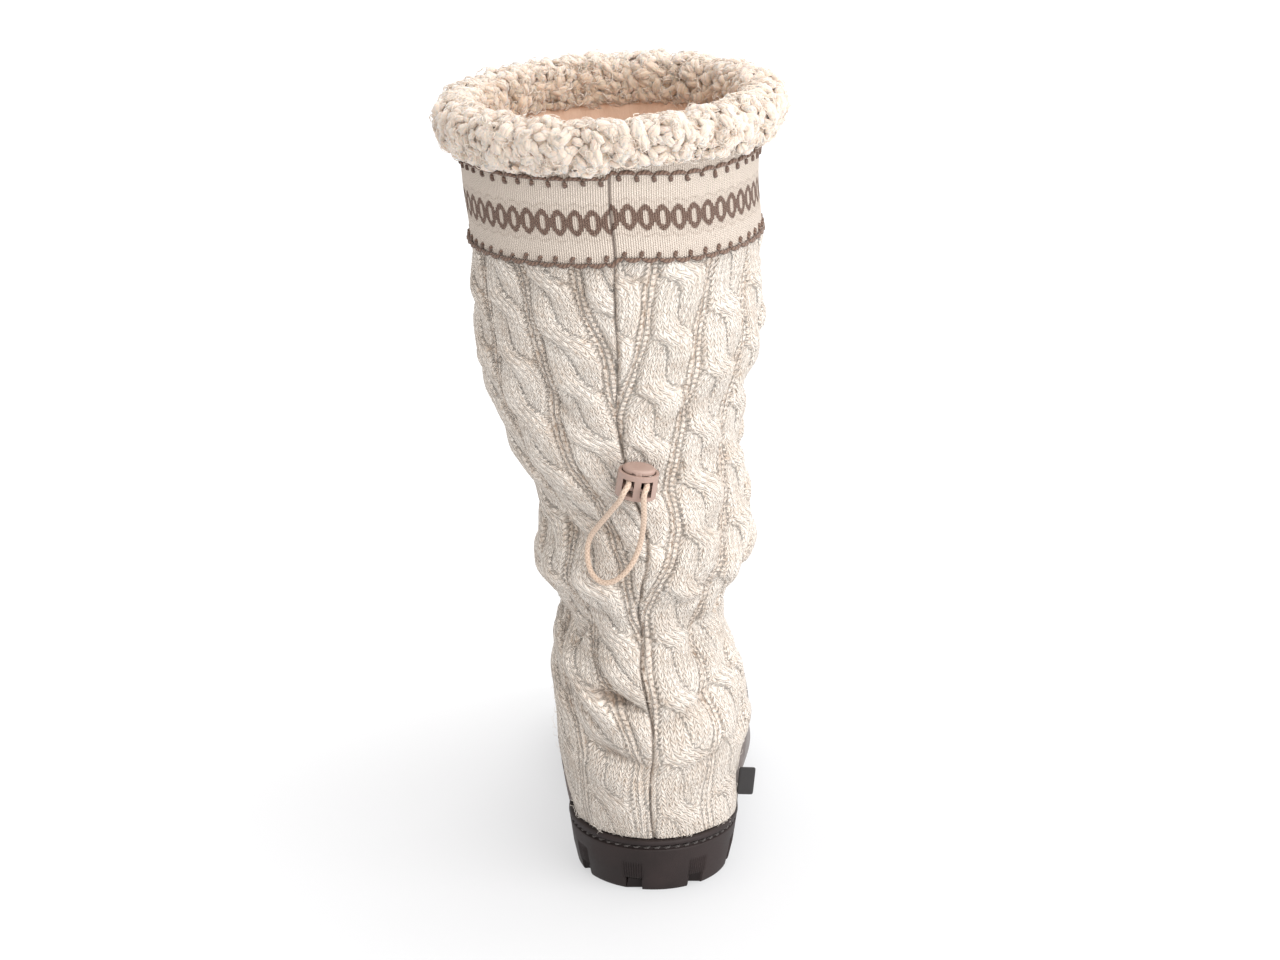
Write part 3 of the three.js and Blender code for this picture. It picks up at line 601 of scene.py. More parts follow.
def band_finish():
    """Fine ribbed cream knit. A brown chain runs round the middle: its edge swells and narrows as a cosine,
    and it is pierced by pale ovals, one to each repeat. Faint arches lie above and below. UV is in repeats
    round and in millimetres up from the chain."""
    f = Finish("jacquard_band", 0.95, 0.05)
    u, v = f.uv()
    column = f.math("FLOOR", f.math("MULTIPLY", u, BAND_STITCHES))
    half = f.math("MULTIPLY", f.math("MODULO", column, 2.0), 0.5)
    row = f.math("FLOOR", f.math("ADD", f.math("DIVIDE", v, BAND_COURSE), half))
    level = f.math("MULTIPLY", f.math("ADD", f.math("SUBTRACT", row, half), 0.5), BAND_COURSE)
    place = f.math("DIVIDE", f.math("ADD", column, 0.5), BAND_STITCHES)
    place = f.math("MULTIPLY_ADD", f.math("SUBTRACT", u, place), 0.4, place)
    level = f.math("MULTIPLY_ADD", f.math("SUBTRACT", v, level), 0.4, level)
    wobble = f.math("MULTIPLY_ADD", f.noise(f.stretched("UV", 9, 1.2, 1), 1.0, 2.0), 1.6, -0.8)
    up = f.math("ABSOLUTE", f.math("MULTIPLY_ADD", wobble, 0.5, level))
    beat = f.math("ABSOLUTE", f.math("COSINE", f.math("MULTIPLY", place, math.pi)))
    edge = f.math("SUBTRACT", up, f.math("MULTIPLY_ADD", beat, 4.0, 2.2))
    beside = f.math("DIVIDE", f.math("SUBTRACT", f.math("FRACT", f.math("ADD", place, 0.5)), 0.5), 0.2)
    beside = f.math("ABSOLUTE", f.math("MULTIPLY_ADD", wobble, 0.12, beside))
    oval = f.math("ADD", f.math("POWER", beside, 1.5), f.math("POWER", f.math("DIVIDE", up, 3.7), 2.0))
    chain = f.math("MULTIPLY", f.step(edge, -0.4, 0.4, 1.0, 0.0), f.step(oval, 0.7, 1.1))
    arch = f.math("MULTIPLY_ADD", beat, 1.8, 6.9)
    faint = f.math("ABSOLUTE", f.math("SUBTRACT", up, arch))
    faint = f.math("MULTIPLY", f.step(faint, 0.3, 0.9, 1.0, 0.0), f.step(wobble, -0.35, 0.3, 0.05, 0.8))
    rib = cosine(f, u, BAND_STITCHES)
    faint = f.math("MULTIPLY", faint, f.step(rib, 0.15, 0.6))
    haze = f.step(up, 4.5, 9.5, 0.22, 0.0)
    course = cosine(f, f.math("ADD", f.math("DIVIDE", v, BAND_COURSE), half))
    colour = f.mix(f.step(rib, 0.0, 0.5, 0.42, 0.0), CREAM, TAUPE)
    colour = f.mix(f.math("MAXIMUM", faint, haze), colour, TAUPE)
    grain = f.noise(f.stretched("UV", 20, 2.2, 1), 1.0, 2.0, 0.7)
    brown = f.mix(f.step(grain, 0.36, 0.6), UMBER, RUSSET)
    colour = f.mix(f.math("MULTIPLY", chain, f.step(grain, 0.5, 0.72, 1.0, 0.6)), colour, brown)
    colour = f.mix(f.math("MULTIPLY", f.value("seam"), 0.8), colour, UMBER)
    height = f.math("MULTIPLY_ADD", course, 0.5, f.math("MULTIPLY_ADD", chain, 0.6, rib))
    return f.done(colour, f.bump(height, 0.8))


def fleece_finish():
    """Sherpa pile: pale clumps with fine wavy fibres along each, with warm painted shade where they go down
    into the pile and where the cuff turns to the inside of the boot.
    """
    f = Finish("sherpa_fleece", 1.0, 0.9)
    depth = f.value("depth")
    tint = f.value("tint")
    wave = f.cloud(300.0, 3.0, 0.6)
    fibre = f.noise(f.stretched("UV", 7.0, 0.9, 1), 2.0, 3.0, 0.65)
    # Painted shade: deeper in the pile the clumps turn a darker tan.
    colour = f.mix(f.math("MULTIPLY", depth, 0.5), (0.67, 0.575, 0.495, 1), (0.65, 0.475, 0.345, 1))
    colour = f.mix(f.math("MULTIPLY", tint, 0.25), colour, (0.64, 0.515, 0.41, 1))
    colour = f.mix(f.step(fibre, 0.5, 0.75, 0.0, 0.12), colour, (0.58, 0.45, 0.345, 1))
    # Painted shade where the cuff turns to the inside of the boot.
    colour = f.mix(f.math("MULTIPLY", f.value("inside_shade"), 0.6), colour, (0.64, 0.46, 0.315, 1))
    f.shader.inputs["Subsurface Weight"].default_value = 0.6
    f.shader.inputs["Subsurface Radius"].default_value = (0.010, 0.007, 0.005)
    soft = f.bump(wave, 1.0, 0.8)
    return f.done(colour, f.bump(fibre, 0.5, 0.9, soft))


def fibre_finish():
    """Single fibres of the pile, a plain warm white."""
    f = Finish("sherpa_fibre", 1.0, 0.6)
    return f.done(f.mix(f.value("tint"), (0.78, 0.69, 0.60, 1), (0.70, 0.58, 0.48, 1)))


def yarn_finish(name, colour, dark):
    """A twisted yarn: slanted plies along its own length."""
    f = Finish(name, 0.9, 0.2)
    u, v = f.uv()
    ply = cosine(f, f.math("MULTIPLY_ADD", u, 2.0, v))
    return f.done(f.mix(f.step(ply, 0.0, 0.6, 0.8, 0.0), colour, dark), f.bump(ply, 0.35))


def suede_finish():
    """Faux suede: a short nap in soft clouds of light and dark, with a fine grain."""
    f = Finish("faux_suede", 0.95, 0.15)
    cloud = f.cloud(55.0, 5.0, 0.65)
    grain = f.cloud(900.0, 3.0, 0.7)
    colour = f.mix(f.step(cloud, 0.3, 0.7), (0.125, 0.108, 0.104, 1), (0.215, 0.19, 0.186, 1))
    colour = f.mix(f.math("MULTIPLY", grain, 0.3), colour, (0.10, 0.085, 0.08, 1))
    return f.done(colour, f.bump(f.math("ADD", grain, cloud), 0.5))


def rubber_finish():
    """Moulded dark rubber: a fine matt grain, with faint clouds that are a little lighter and rougher."""
    f = Finish("sole_rubber", 0.62)
    grain = f.cloud(1600.0, 3.0, 0.6)
    cloud = f.cloud(45.0, 4.0)
    colour = f.mix(f.step(cloud, 0.35, 0.7), (0.0165, 0.0105, 0.010, 1), (0.028, 0.0185, 0.018, 1))
    f.shader.inputs["Specular IOR Level"].default_value = 0.3
    f.put(f.shader.inputs["Roughness"], f.step(cloud, 0.3, 0.8, 0.5, 0.72))
    return f.done(colour, f.bump(grain, 0.12))


def lock_finish():
    """Moulded pinkish-taupe plastic with a satin face and faint flow clouds."""
    f = Finish("lock_plastic", 0.38)
    cloud = f.cloud(160.0, 3.0)
    colour = f.mix(cloud, (0.32, 0.215, 0.18, 1), (0.41, 0.295, 0.25, 1))
    grain = f.cloud(2600.0, 2.0)
    return f.done(colour, f.bump(grain, 0.05))


def elastic_finish():
    """Braided elastic: two sets of slanted plies that cross along the cord."""
    f = Finish("braided_elastic", 0.85, 0.15)
    u, v = f.uv()
    left = cosine(f, f.math("MULTIPLY_ADD", u, 4.0, v))
    right = cosine(f, f.math("MULTIPLY_ADD", u, -4.0, v))
    weave = f.math("MAXIMUM", left, right)
    colour = f.mix(f.step(weave, 0.3, 0.9), (0.48, 0.355, 0.27, 1), (0.62, 0.48, 0.38, 1))
    return f.done(colour, f.bump(weave, 0.18))


def ribbon_finish():
    """Black woven ribbon: fine cross ribs with a dull silky face."""
    f = Finish("woven_ribbon", 0.6, 0.05)
    rib = cosine(f, f.uv()[1])
    return f.done(f.mix(rib, (0.012, 0.011, 0.012, 1), (0.030, 0.027, 0.028, 1)), f.bump(rib, 0.15))


def footbed_finish():
    """Short fleece pile of the footbed."""
    f = Finish("footbed_pile", 1.0, 0.4)
    pile = f.cells(f.place.outputs["Object"], 420.0)
    colour = f.mix(f.step(pile, 0.1, 0.6), (0.74, 0.62, 0.51, 1), (0.48, 0.36, 0.27, 1))
    return f.done(colour, f.bump(f.math("MULTIPLY", pile, -1.0), 1.5))


def steel_finish():
    """Bright spring wire with faint drawing lines."""
    f = Finish("spring_wire", 0.3)
    f.shader.inputs["Metallic"].default_value = 1.0
    line = f.noise(f.stretched("UV", 12, 0.4, 1), 2.0, 2.0)
    return f.done(f.mix(line, (0.50, 0.46, 0.42, 1), (0.66, 0.62, 0.57, 1)))


# Steps of a half outline, as in the part's source
FACE_STEPS = 160


def back_face(x, z):
    """Station of the upper's face straight behind a place seen from the back, found as the part's source
    does: the first step of the half outline that reaches x."""
    section, low = levels(np.array([z], float))
    centre = (section["lateral"][0] - section["medial"][0]) / 2
    side = 1 if x > centre else -1
    xs, ys, _ = half_outline(section, side, low, FACE_STEPS)
    return ys[0, np.argmax(side * xs[0] >= side * x)]


# Cord lock and cord, as in the part's source
LOCK_AT = {"x": -8.5, "z": 197.7, "off": 6.8, "tilt": 10.0, "roll": 8.0}
BARREL_DEEP = 7.0
BARREL_FLOOR = 1.4
BUTTON_TRAVEL = 2.4
CORD_DIAMETER = 2.6
CORD_SPACING = 4.2
CORD_HEIGHT = 8.1
CORD_START = 0.4

# The hanging loop: place across, height and distance off the knit
CORD_LOOP = [
    (-13.5, 202.4, 17.5),
    (-15.4, 198.1, 16.8),
    (-18.6, 192.8, 14),
    (-22.4, 186.3, 10.5),
    (-26.1, 179.8, 7.5),
    (-29, 173.9, 5.2),
    (-30.3, 168, 4.4),
    (-30.1, 162.4, 4.2),
    (-28.3, 157, 4.2),
    (-23.8, 153.7, 4.2),
    (-18.6, 154.8, 4.2),
    (-13.9, 158.6, 4.2),
    (-10.2, 163.6, 4.4),
    (-7.6, 169.2, 5),
    (-5.9, 175.4, 6.5),
    (-4.9, 182.6, 10),
    (-4.5, 189.6, 14),
    (-4.6, 196.2, 17),
    (-4.3, 201.5, 18),
]


def lock_turn():
    """Rotation of the lock: a roll about Y, then a tilt about X."""
    tilt, roll = math.radians(LOCK_AT["tilt"]), math.radians(LOCK_AT["roll"])
    about_x = np.array([[1, 0, 0], [0, math.cos(tilt), -math.sin(tilt)], [0, math.sin(tilt), math.cos(tilt)]])
    about_y = np.array([[math.cos(roll), 0, math.sin(roll)], [0, 1, 0], [-math.sin(roll), 0, math.cos(roll)]])
    return about_x @ about_y


LOCK_TURN = lock_turn()
LOCK_PLACE = np.array([LOCK_AT["x"], back_face(LOCK_AT["x"], LOCK_AT["z"]) - LOCK_AT["off"], LOCK_AT["z"]])


def in_lock(points):
    """Points given in the lock's own axes, in the boot's axes."""
    return np.asarray(points, float) @ LOCK_TURN.T + LOCK_PLACE


def cord_route():
    """The points that the cord passes: out through the lock, round the hanging loop and back."""
    lead = [
        (BARREL_DEEP + CORD_START, CORD_HEIGHT),
        (0, CORD_HEIGHT),
        (-BARREL_DEEP, CORD_HEIGHT),
    ]
    out = in_lock([(-CORD_SPACING, y, z) for y, z in lead])
    home = in_lock([(CORD_SPACING, y, z) for y, z in lead[::-1]])
    hang = [(x, back_face(x, z) - off, z) for x, z, off in CORD_LOOP]
    return np.concatenate([out, hang, home])


def smooth_path(points, steps):
    """A curve through points by cubic pieces whose tangents come from the points' spacing to the power of a
    half, with steps places to each span."""
    ends = np.concatenate([[2 * points[0] - points[1]], points, [2 * points[-1] - points[-2]]])
    p0, p1, p2, p3 = ends[:-3], ends[1:-2], ends[2:-1], ends[3:]
    d0, d1, d2 = (np.sqrt(np.linalg.norm(b - a, axis=1))[:, None] for a, b in ((p0, p1), (p1, p2), (p2, p3)))
    t1 = ((p1 - p0) / d0 - (p2 - p0) / (d0 + d1) + (p2 - p1) / d1) * d1
    t2 = ((p2 - p1) / d1 - (p3 - p1) / (d1 + d2) + (p3 - p2) / d2) * d1
    t = (np.arange(steps) / steps)[None, :, None]
    a, b, c, d = p1[:, None], t1[:, None], t2[:, None], p2[:, None]
    curve = (2 * t**3 - 3 * t**2 + 1) * a + (t**3 - 2 * t**2 + t) * b
    curve = curve + (3 * t**2 - 2 * t**3) * d + (t**3 - t**2) * c
    return np.concatenate([curve.reshape(-1, 3), points[-1:]])


def walked(path):
    """Length walked along a path at each of its points."""
    return np.concatenate([[0], np.cumsum(np.linalg.norm(np.diff(path, axis=0), axis=1))])


def steady_frames(path):
    """Two directions square to a path at each point, carried along it so that they don't spin."""
    direction = unit(np.gradient(path, axis=0))
    first = np.cross(direction[0], (0.3, 0.2, 0.9))
    rows = []
    for heading in direction:
        first = first - heading * np.dot(first, heading)
        first = first / np.linalg.norm(first)
        rows.append(first)
    first = np.array(rows)
    return first, np.cross(direction, first)


def one_tube(name, path, radius, sides, material, pitch):
    """A closed tube along a path: a circle of the radius in the path's steady frame, with its ends drawn to a
    point. UV is turns round and lengths of pitch along."""
    first, second = steady_frames(path)
    angle = np.linspace(0, 2 * np.pi, sides + 1)
    width = np.full(len(path), radius)
    width[[0, -1]] = 0.0
    ring = first[:, None] * np.cos(angle)[:, None] + second[:, None] * np.sin(angle)[:, None]
    points = path[:, None] + ring * width[:, None, None]
    uv = np.stack(np.broadcast_arrays(angle[None] / (2 * np.pi), walked(path)[:, None] / pitch), -1)
    return make_mesh(name, points, grid_quads(len(path), sides + 1), material, uv)


def belong(piece, slot, *nodes, body="boot"):
    """The piece rides on a body and stands for nodes, which are hidden. The slot is not used."""
    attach(piece, body)
    if nodes:
        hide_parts(*nodes)
    return piece


# Camera
def place_camera():
    """A camera at a distance from its target, raised by the elevation, looking along +Y."""
    data = bpy.data.cameras.new("camera")
    data.sensor_width = SENSOR
    data.lens = CAMERA["focal_px"] / IMAGE_WIDTH * SENSOR
    data.clip_end = CLIP_END
    camera = stand("camera", data)
    rise = math.radians(CAMERA["elevation"])
    back = np.array([0, -math.cos(rise), math.sin(rise)]) * CAMERA["distance"]
    camera.location = (np.array(CAMERA["target"]) + back) * MM
    camera.rotation_euler = Vector((0, math.cos(rise), -math.sin(rise))).to_track_quat("-Z", "Y").to_euler()
    bpy.context.scene.camera = camera


place_camera()

# Cord
CORD_PATH = smooth_path(cord_route(), 6)
cord = one_tube("elastic_cord", CORD_PATH, CORD_DIAMETER / 2, 10, elastic_finish(), 2.2)
belong(cord, "elastic", "draw_cord")


# Knit
KNIT_HEM = 28.0
HEM_TALL = 16.0
HEM_LEVEL = -0.4
HEM_SHARE = 0.65
HEM_PUSH = 2.0
HEM_PUSH_START = (20, 60)
HEM_PUSH_END = (60, 90)
FRONT_SHARE = (0.5, 0.95)
# Fold depths over which a crease takes its painted shade.
CREASE_SHADE = (0.8, 4.0)
DEEPEST = -4.0
CABLE_STARTS = RNG.uniform(-9.0, 9.0, CABLES)


def wales(s, z, around):
    """Wales counted to the right from the middle of the front, so that they run into the back seam where the
    shaft narrows: the way round less half the girth, which falls in a straight line down the back of the
    shaft, and on the inner side goes on falling over the heel."""
    left = s < 0
    inner, outer = -MASTER_AROUND[:, 0], MASTER_AROUND[:, -1]
    girth = np.where(left, np.interp(z, MASTER_Z, inner), np.interp(z, MASTER_Z, outer))
    ends = np.searchsorted(MASTER_Z, (ANKLE_HEIGHT, BAND_BOTTOM))
    share = np.clip((z - ANKLE_HEIGHT) / (BAND_BOTTOM - ANKLE_HEIGHT), 0, 1.1)
    straight = np.where(left, mix(*inner[ends], share), mix(*outer[ends], share))
    straight = straight - left * HEEL_DRIFT * np.clip(ANKLE_HEIGHT - z, 0, ANKLE_HEIGHT - HEEL_END)
    ahead = smooth(*FRONT_SHARE, np.abs(s)) * smooth(ANKLE_HEIGHT - 20, ANKLE_HEIGHT, z)
    return np.where(left, -1, 1) * (np.abs(around) - mix(straight, girth, ahead)) / WALE


def knit_relief(s, z, around):
    """Rope cables between gutters. In each repeat two strands swing to and fro with the height, as plus and
    minus the hyperbolic tangent of a cosine, the strand that runs down to the right lies on top, and each is
    a flattened round in section. A gutter's edges are jagged by a cosine, and between them lie rows of purl
    bumps, as the product of two cosines. The whole pattern wanders by slow sines. Returns the relief in
    millimetres, the wale and course of the stitch, the share of purl and the share of hollow."""
    u = wales(s, z, around) + 0.6 * np.sin(z / 23.0 + 5 * s) + 0.4 * np.sin(z / 9.0 - 17 * s)
    cell = np.floor(u / CABLE_REPEAT).astype(int)
    across = u - cell * CABLE_REPEAT - CABLE_REPEAT / 2
    climb = z + CABLE_STARTS[cell % len(CABLE_STARTS)] + 2.0 * np.sin(z / 37.0 + 9 * s)
    turn = np.pi * climb / CROSSING
    sway = CROSSING_SHARP * np.cos(turn)
    swing = CABLE_SWING * np.tanh(sway) / math.tanh(CROSSING_SHARP)
    lean = CABLE_SWING * WALE * CROSSING_SHARP * np.pi / CROSSING * np.sin(turn) / np.cosh(sway) ** 2
    top = np.sin(turn)
    offsets = np.stack([across - swing, across + swing]) / np.sqrt(1 + lean**2)
    edge = np.round(u / CABLE_REPEAT)
    gutter = GUTTER_HALF + 0.35 * np.sin(z / 8.0 + 2.4 * edge) + 0.25 * np.sin(z / 3.7 - 1.7 * edge)
    jag = JAG * np.cos(2 * np.pi * climb / COURSE + np.pi * edge)
    room = smooth(gutter + jag - 0.3, gutter + jag + 0.4, CABLE_REPEAT / 2 - np.abs(across))
    half = STRAND_HALF + jag
    rounds = np.sqrt(np.maximum(0, 1 - np.abs(offsets / half) ** 2.2)) * room
    inside = (np.abs(offsets) < half) & (room > 0)
    heights = np.where(inside, (CABLE_HEIGHT + CROSSING_LIFT * np.stack([top, -top])) * rounds, -1.0)
    over = np.argmax(heights, axis=0)
    height = np.maximum(heights.max(axis=0), 0)
    strand = np.take_along_axis(offsets, over[None], axis=0)[0]
    bare = ~inside.any(axis=0)
    wale = np.where(bare, across, strand + 0.5)
    rim = np.take_along_axis(rounds, over[None], axis=0)[0]
    hollow = np.where(bare, 1.0, 1 - smooth(0.0, 0.7, rim))
    column = across / PURL_PITCH
    bumps = np.abs(np.cos(np.pi * column) * np.cos(np.pi * (climb / COURSE + 0.5 * np.round(column)))) ** 0.7
    bumps = bumps * (0.6 + 0.4 * np.sin(climb / 1.9 + 2.0 * column + 3.0 * edge))
    height = np.where(bare, PURL_LIFT + PURL_HEIGHT * bumps, height)
    lump = 0.4 * np.sin(around / 6.3 + z / 4.9) + 0.4 * np.sin(around / 4.1 - z / 8.7)
    lump = lump + 0.3 * np.sin(around / 9.7 + z / 12.9)
    return height + lump - GUTTER_DEPTH, wale, climb / COURSE, bare.astype(float), hollow


# Rear edge of the suede panel: station along the foot and height
OVERLAY_EDGE = np.array([(5, 20), (13, 33), (28, 50), (47, 68), (67, 83), (86, 94), (108, 102)], float)
COVERED = -1.6


def overlay_room(points):
    """How far points lie under the rear edge of the suede panel."""
    return np.interp(points[..., 1], OVERLAY_EDGE[:, 0], OVERLAY_EDGE[:, 1]) - points[..., 2]


def knit_grid(s, z):
    """The knitted upper: its folded surface, sunk by the cables' relief, by the sharp creases and by the
    groove of the back seam, calmer at the heel, and flat where the suede or the band covers it."""
    around = sample(MASTER_AROUND, s, z)
    relief, wale, course, purl, hollow = knit_relief(s, z, around)
    calm = HEEL_CALM * (1 - smooth(*CALM_HEIGHTS, z))
    relief = mix(relief, CALM_LEVEL, calm)
    purl = mix(purl, 0, calm)
    hollow = mix(hollow, 0.5, calm)
    hem = 1 - smooth(KNIT_HEM, KNIT_HEM + HEM_TALL, z)
    push = HEM_PUSH * hem * smooth(*HEM_PUSH_START, around) * (1 - smooth(*HEM_PUSH_END, around))
    relief = mix(relief, HEM_LEVEL, HEM_SHARE * hem) + push
    under_suede = smooth(0, 3, overlay_room(sample(MASTER_POINTS, s, z)))
    hidden = np.maximum(under_suede, smooth(BAND_BOTTOM - 4, BAND_BOTTOM + 2, z))
    relief = mix(relief, COVERED, hidden)
    seam = bell(around, 0, SEAM_WIDTH)
    relief = np.maximum(relief - SEAM_DEPTH * seam, DEEPEST)
    fold = fold_at(around, z, CREASES)
    points = skin(s, z, relief + fold)
    # Share of painted shade: the creases of the folds, and the dark line of the back seam.
    crease = np.maximum(bell(around, 0, 0.6 * SEAM_WIDTH), smooth(*CREASE_SHADE, -fold))
    # The hollow value, with the back seam, sets where the knit's finish paints shade in the hollows.
    values = {"purl": purl, "hollow": np.maximum(hollow, seam), "crease": crease}
    return points, np.stack([wale, course], -1), values


def ring_normals(points):
    """Unit normals of a grid that closes on itself along its columns."""
    ring = np.concatenate([points[:, -1:], points, points[:, :1]], axis=1)
    return unit(np.cross(ring[:, 2:] - ring[:, :-2], np.gradient(points, axis=0)))


KNIT_COLUMNS = 600
KNIT_STEP = 0.8
KNIT_TOP = 314.0
KNIT_SPLIT = (128.0, 222.0)


def knit_pieces(material):
    """The knit in three pieces, foot, ankle and shaft, that share their edge rows and their normals."""
    s = np.linspace(-1, 1, KNIT_COLUMNS, endpoint=False)
    heights = np.arange(SOLE_HEIGHT, KNIT_TOP, KNIT_STEP)
    s, z = np.meshgrid(s, heights)
    points, uv, values = knit_grid(s, z)
    normals = ring_normals(points)
    cuts = [0, *np.searchsorted(heights, KNIT_SPLIT), len(heights) - 1]
    made = []
    for name, low, high in zip(("knit_foot", "knit_ankle", "knit_shaft"), cuts[:-1], cuts[1:]):
        rows = slice(low, high + 1)
        quads = grid_quads(high + 1 - low, KNIT_COLUMNS, wrap=True)
        kept = {key: value[rows] for key, value in values.items()}
        piece = make_mesh(name, points[rows], quads, material, uv[rows], kept)
        piece.data.normals_split_custom_set_from_vertices(normals[rows].reshape(-1, 3))
        made.append(belong(piece, "cable_knit"))
    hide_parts("upper")
    return made


FUZZ = 1800
FUZZ_REACH = 0.75
FUZZ_CLEAR = 3.0
FUZZ_RADIUS = 0.11


def knit_fuzz(material):
    """Short loose hairs over the knit: each leaves the yarn, leans along it and bends, as half a sine."""
    s = RNG.uniform(-FUZZ_REACH, FUZZ_REACH, FUZZ)
    z = RNG.uniform(KNIT_HEM, BAND_BOTTOM, FUZZ)
    z[: FUZZ // 6] = RNG.uniform(SOLE_HEIGHT, KNIT_HEM + 4, FUZZ // 6)
    bare = overlay_room(sample(MASTER_POINTS, s, z)) < -FUZZ_CLEAR
    s, z = s[bare], z[bare]
    count = len(s)
    around = sample(MASTER_AROUND, s, z)
    base = skin(s, z, knit_relief(s, z, around)[0] + fold_at(around, z, CREASES))
    facing = sample(MASTER_NORMALS, s, z)
    along = unit(np.cross(facing, RNG.standard_normal((count, 3))))
    beside = np.cross(facing, along)
    t = np.linspace(0, 1, 5)
    long = RNG.uniform(2.0, 4.5, (count, 1))
    rise = RNG.uniform(0.6, 1.8, (count, 1)) * np.sin(np.pi * (0.05 + 0.75 * t)) - 0.3
    wave = RNG.uniform(-0.8, 0.8, (count, 1)) * np.sin(1.5 * np.pi * t)
    path = base[:, None] + facing[:, None] * rise[..., None] + along[:, None] * (long * t)[..., None]
    path = path + beside[:, None] * wave[..., None]
    width = np.broadcast_to(FUZZ_RADIUS * (1 - 0.7 * t), rise.shape)
    tubes = tube_points(path, width, 3, beside[:, None])
    fuzz = make_mesh("knit_fuzz", tubes, tube_quads(count, len(t), 3), material)
    return belong(fuzz, "cable_knit")


def fuzz_finish():
    """Single hairs of the yarn, a plain ivory."""
    return Finish("yarn_fuzz", 1.0, 0.2).done(IVORY)


knit_pieces(knit_finish())
knit_fuzz(fuzz_finish())

# Lining
LINING_OUT = -5.4
LINING_TOP = 362.0
LINING_STEP = 4.0


def lining_piece():
    """The inside of the boot: the folded surface with its creases, drawn in by the wall."""
    heights = np.arange(SOLE_HEIGHT, LINING_TOP, LINING_STEP)
    s, z = np.meshgrid(np.linspace(-1, 1, 120, endpoint=False), heights)
    quads = grid_quads(*s.shape, wrap=True)[:, ::-1]
    crease = np.minimum(fold_at(sample(MASTER_AROUND, s, z), z, CREASES), 0)
    return belong(make_mesh("lining", skin(s, z, LINING_OUT + crease), quads, lining_finish()), "footbed")


lining_piece()

# Trim band
BAND_REPEATS = 54
BAND_STEP = 2.4
BAND_STEP_EDGE = (-0.0008, 0.0008)
BAND_SAG = 3.0
BAND_SAG_START = (0, 0.2)
BAND_SAG_END = (0.5, 0.9)
BAND_DROP = 1.8
BAND_ROLL = 1.5
BAND_EDGE_ROUND = 2.0
BAND_SEAM_DEPTH = 0.9
BAND_SEAM_REACH = 0.004
BAND_SEAM_LINE = 0.0026
CHAIN_LEVEL = 326.2


def band_shift(s):
    """How far the band's edges stand up: its two ends meet out of step at the back seam, and it sags to the
    right of it, each by smooth steps."""
    step = BAND_STEP * smooth(*BAND_STEP_EDGE, s) * (1 - np.clip(s, 0, 1)) ** 2
    return step - BAND_SAG * smooth(*BAND_SAG_START, s) * (1 - smooth(*BAND_SAG_END, s))


def band_piece():
    """The band: a sleeve over the knit, rounded in at its two edges."""
    inner, outer = np.linspace(-1, -0.012, 250), np.linspace(0.012, 1, 250)
    s = np.concatenate([inner, np.linspace(-0.009, 0.009, 13), outer])
    rows = np.linspace(0, 1, 44)
    s, t = np.meshgrid(s, rows)
    z = mix(BAND_BOTTOM - BAND_DROP, BAND_TOP, t)
    edge = np.minimum(t, 1 - t) * (BAND_TOP - BAND_BOTTOM)
    out = BAND_OUT - BAND_ROLL * (1 - cap(edge, BAND_EDGE_ROUND))
    out = out - BAND_SEAM_DEPTH * bell(s, 0, BAND_SEAM_REACH)
    points = skin(s, z, out)
    points[..., 2] += band_shift(s)
    uv = np.stack([(s + 1) / 2 * BAND_REPEATS, z - CHAIN_LEVEL], -1)
    values = {"seam": bell(s, 0, BAND_SEAM_LINE)}
    band = make_mesh("jacquard_band", points, grid_quads(*s.shape), band_finish(), uv, values)
    return belong(band, "band_knit", "trim_band")


band_piece()


def blanket_stitches():
    """Blanket stitch along both edges of the band: a yarn that droops between stitches, as half a sine, and
    a short leg at each stitch."""
    count = BAND_REPEATS
    start = (np.arange(count) + 0.5) / count * 2 - 1
    t = np.linspace(0, 1, 9)
    bow = np.sin(np.pi * t)
    paths = []
    for height, leg in ((BAND_BOTTOM - BAND_DROP + 1.0, 1), (BAND_TOP - 9.0, -1)):
        s = start[:, None] + t * 2 / count
        s = np.where(s > 1, s - 2, s)
        paths.append((s, height - leg * bow, 1.6 + 0.3 * bow, 0.75 + 0.35 * bow * np.ones_like(s)))
        lean = 0.0015 * RNG.standard_normal((count, 1))
        reach = 2.6 + 0.4 * RNG.standard_normal((count, 1))
        s = start[:, None] + lean * t + 0.0019 * (1 - np.cos(np.pi * t))
        rise = reach * np.sin(np.pi * (0.04 + 0.70 * t))
        paths.append((s, height + leg * rise, 1.5 - 0.2 * t, 1.0 + 0.15 * bow * np.ones_like(s)))
    points, width = [], []
    for s, z, out, radius in paths:
        z, out = np.broadcast_to(z, s.shape), np.broadcast_to(out, s.shape)
        line = skin(s, z, out)
        line[..., 2] += band_shift(s)
        points.append(line)
        width.append(radius)
    points, width = np.concatenate(points), np.concatenate(width)
    width[:, [0, -1]] *= 0.35
    columns = np.concatenate([path[0] for path in paths])
    facing = sample(MASTER_NORMALS, columns, np.full(columns.shape, BAND_TOP))
    tubes = tube_points(points, width, 6, facing)
    uv = tube_uv(len(points), 6, t * 4)
    material = yarn_finish("brown_yarn", (0.20, 0.125, 0.092, 1), (0.075, 0.042, 0.030, 1))
    quads = tube_quads(len(points), len(t), 6)
    return belong(make_mesh("blanket_stitch", tubes, quads, material, uv), "band_knit")


blanket_stitches()

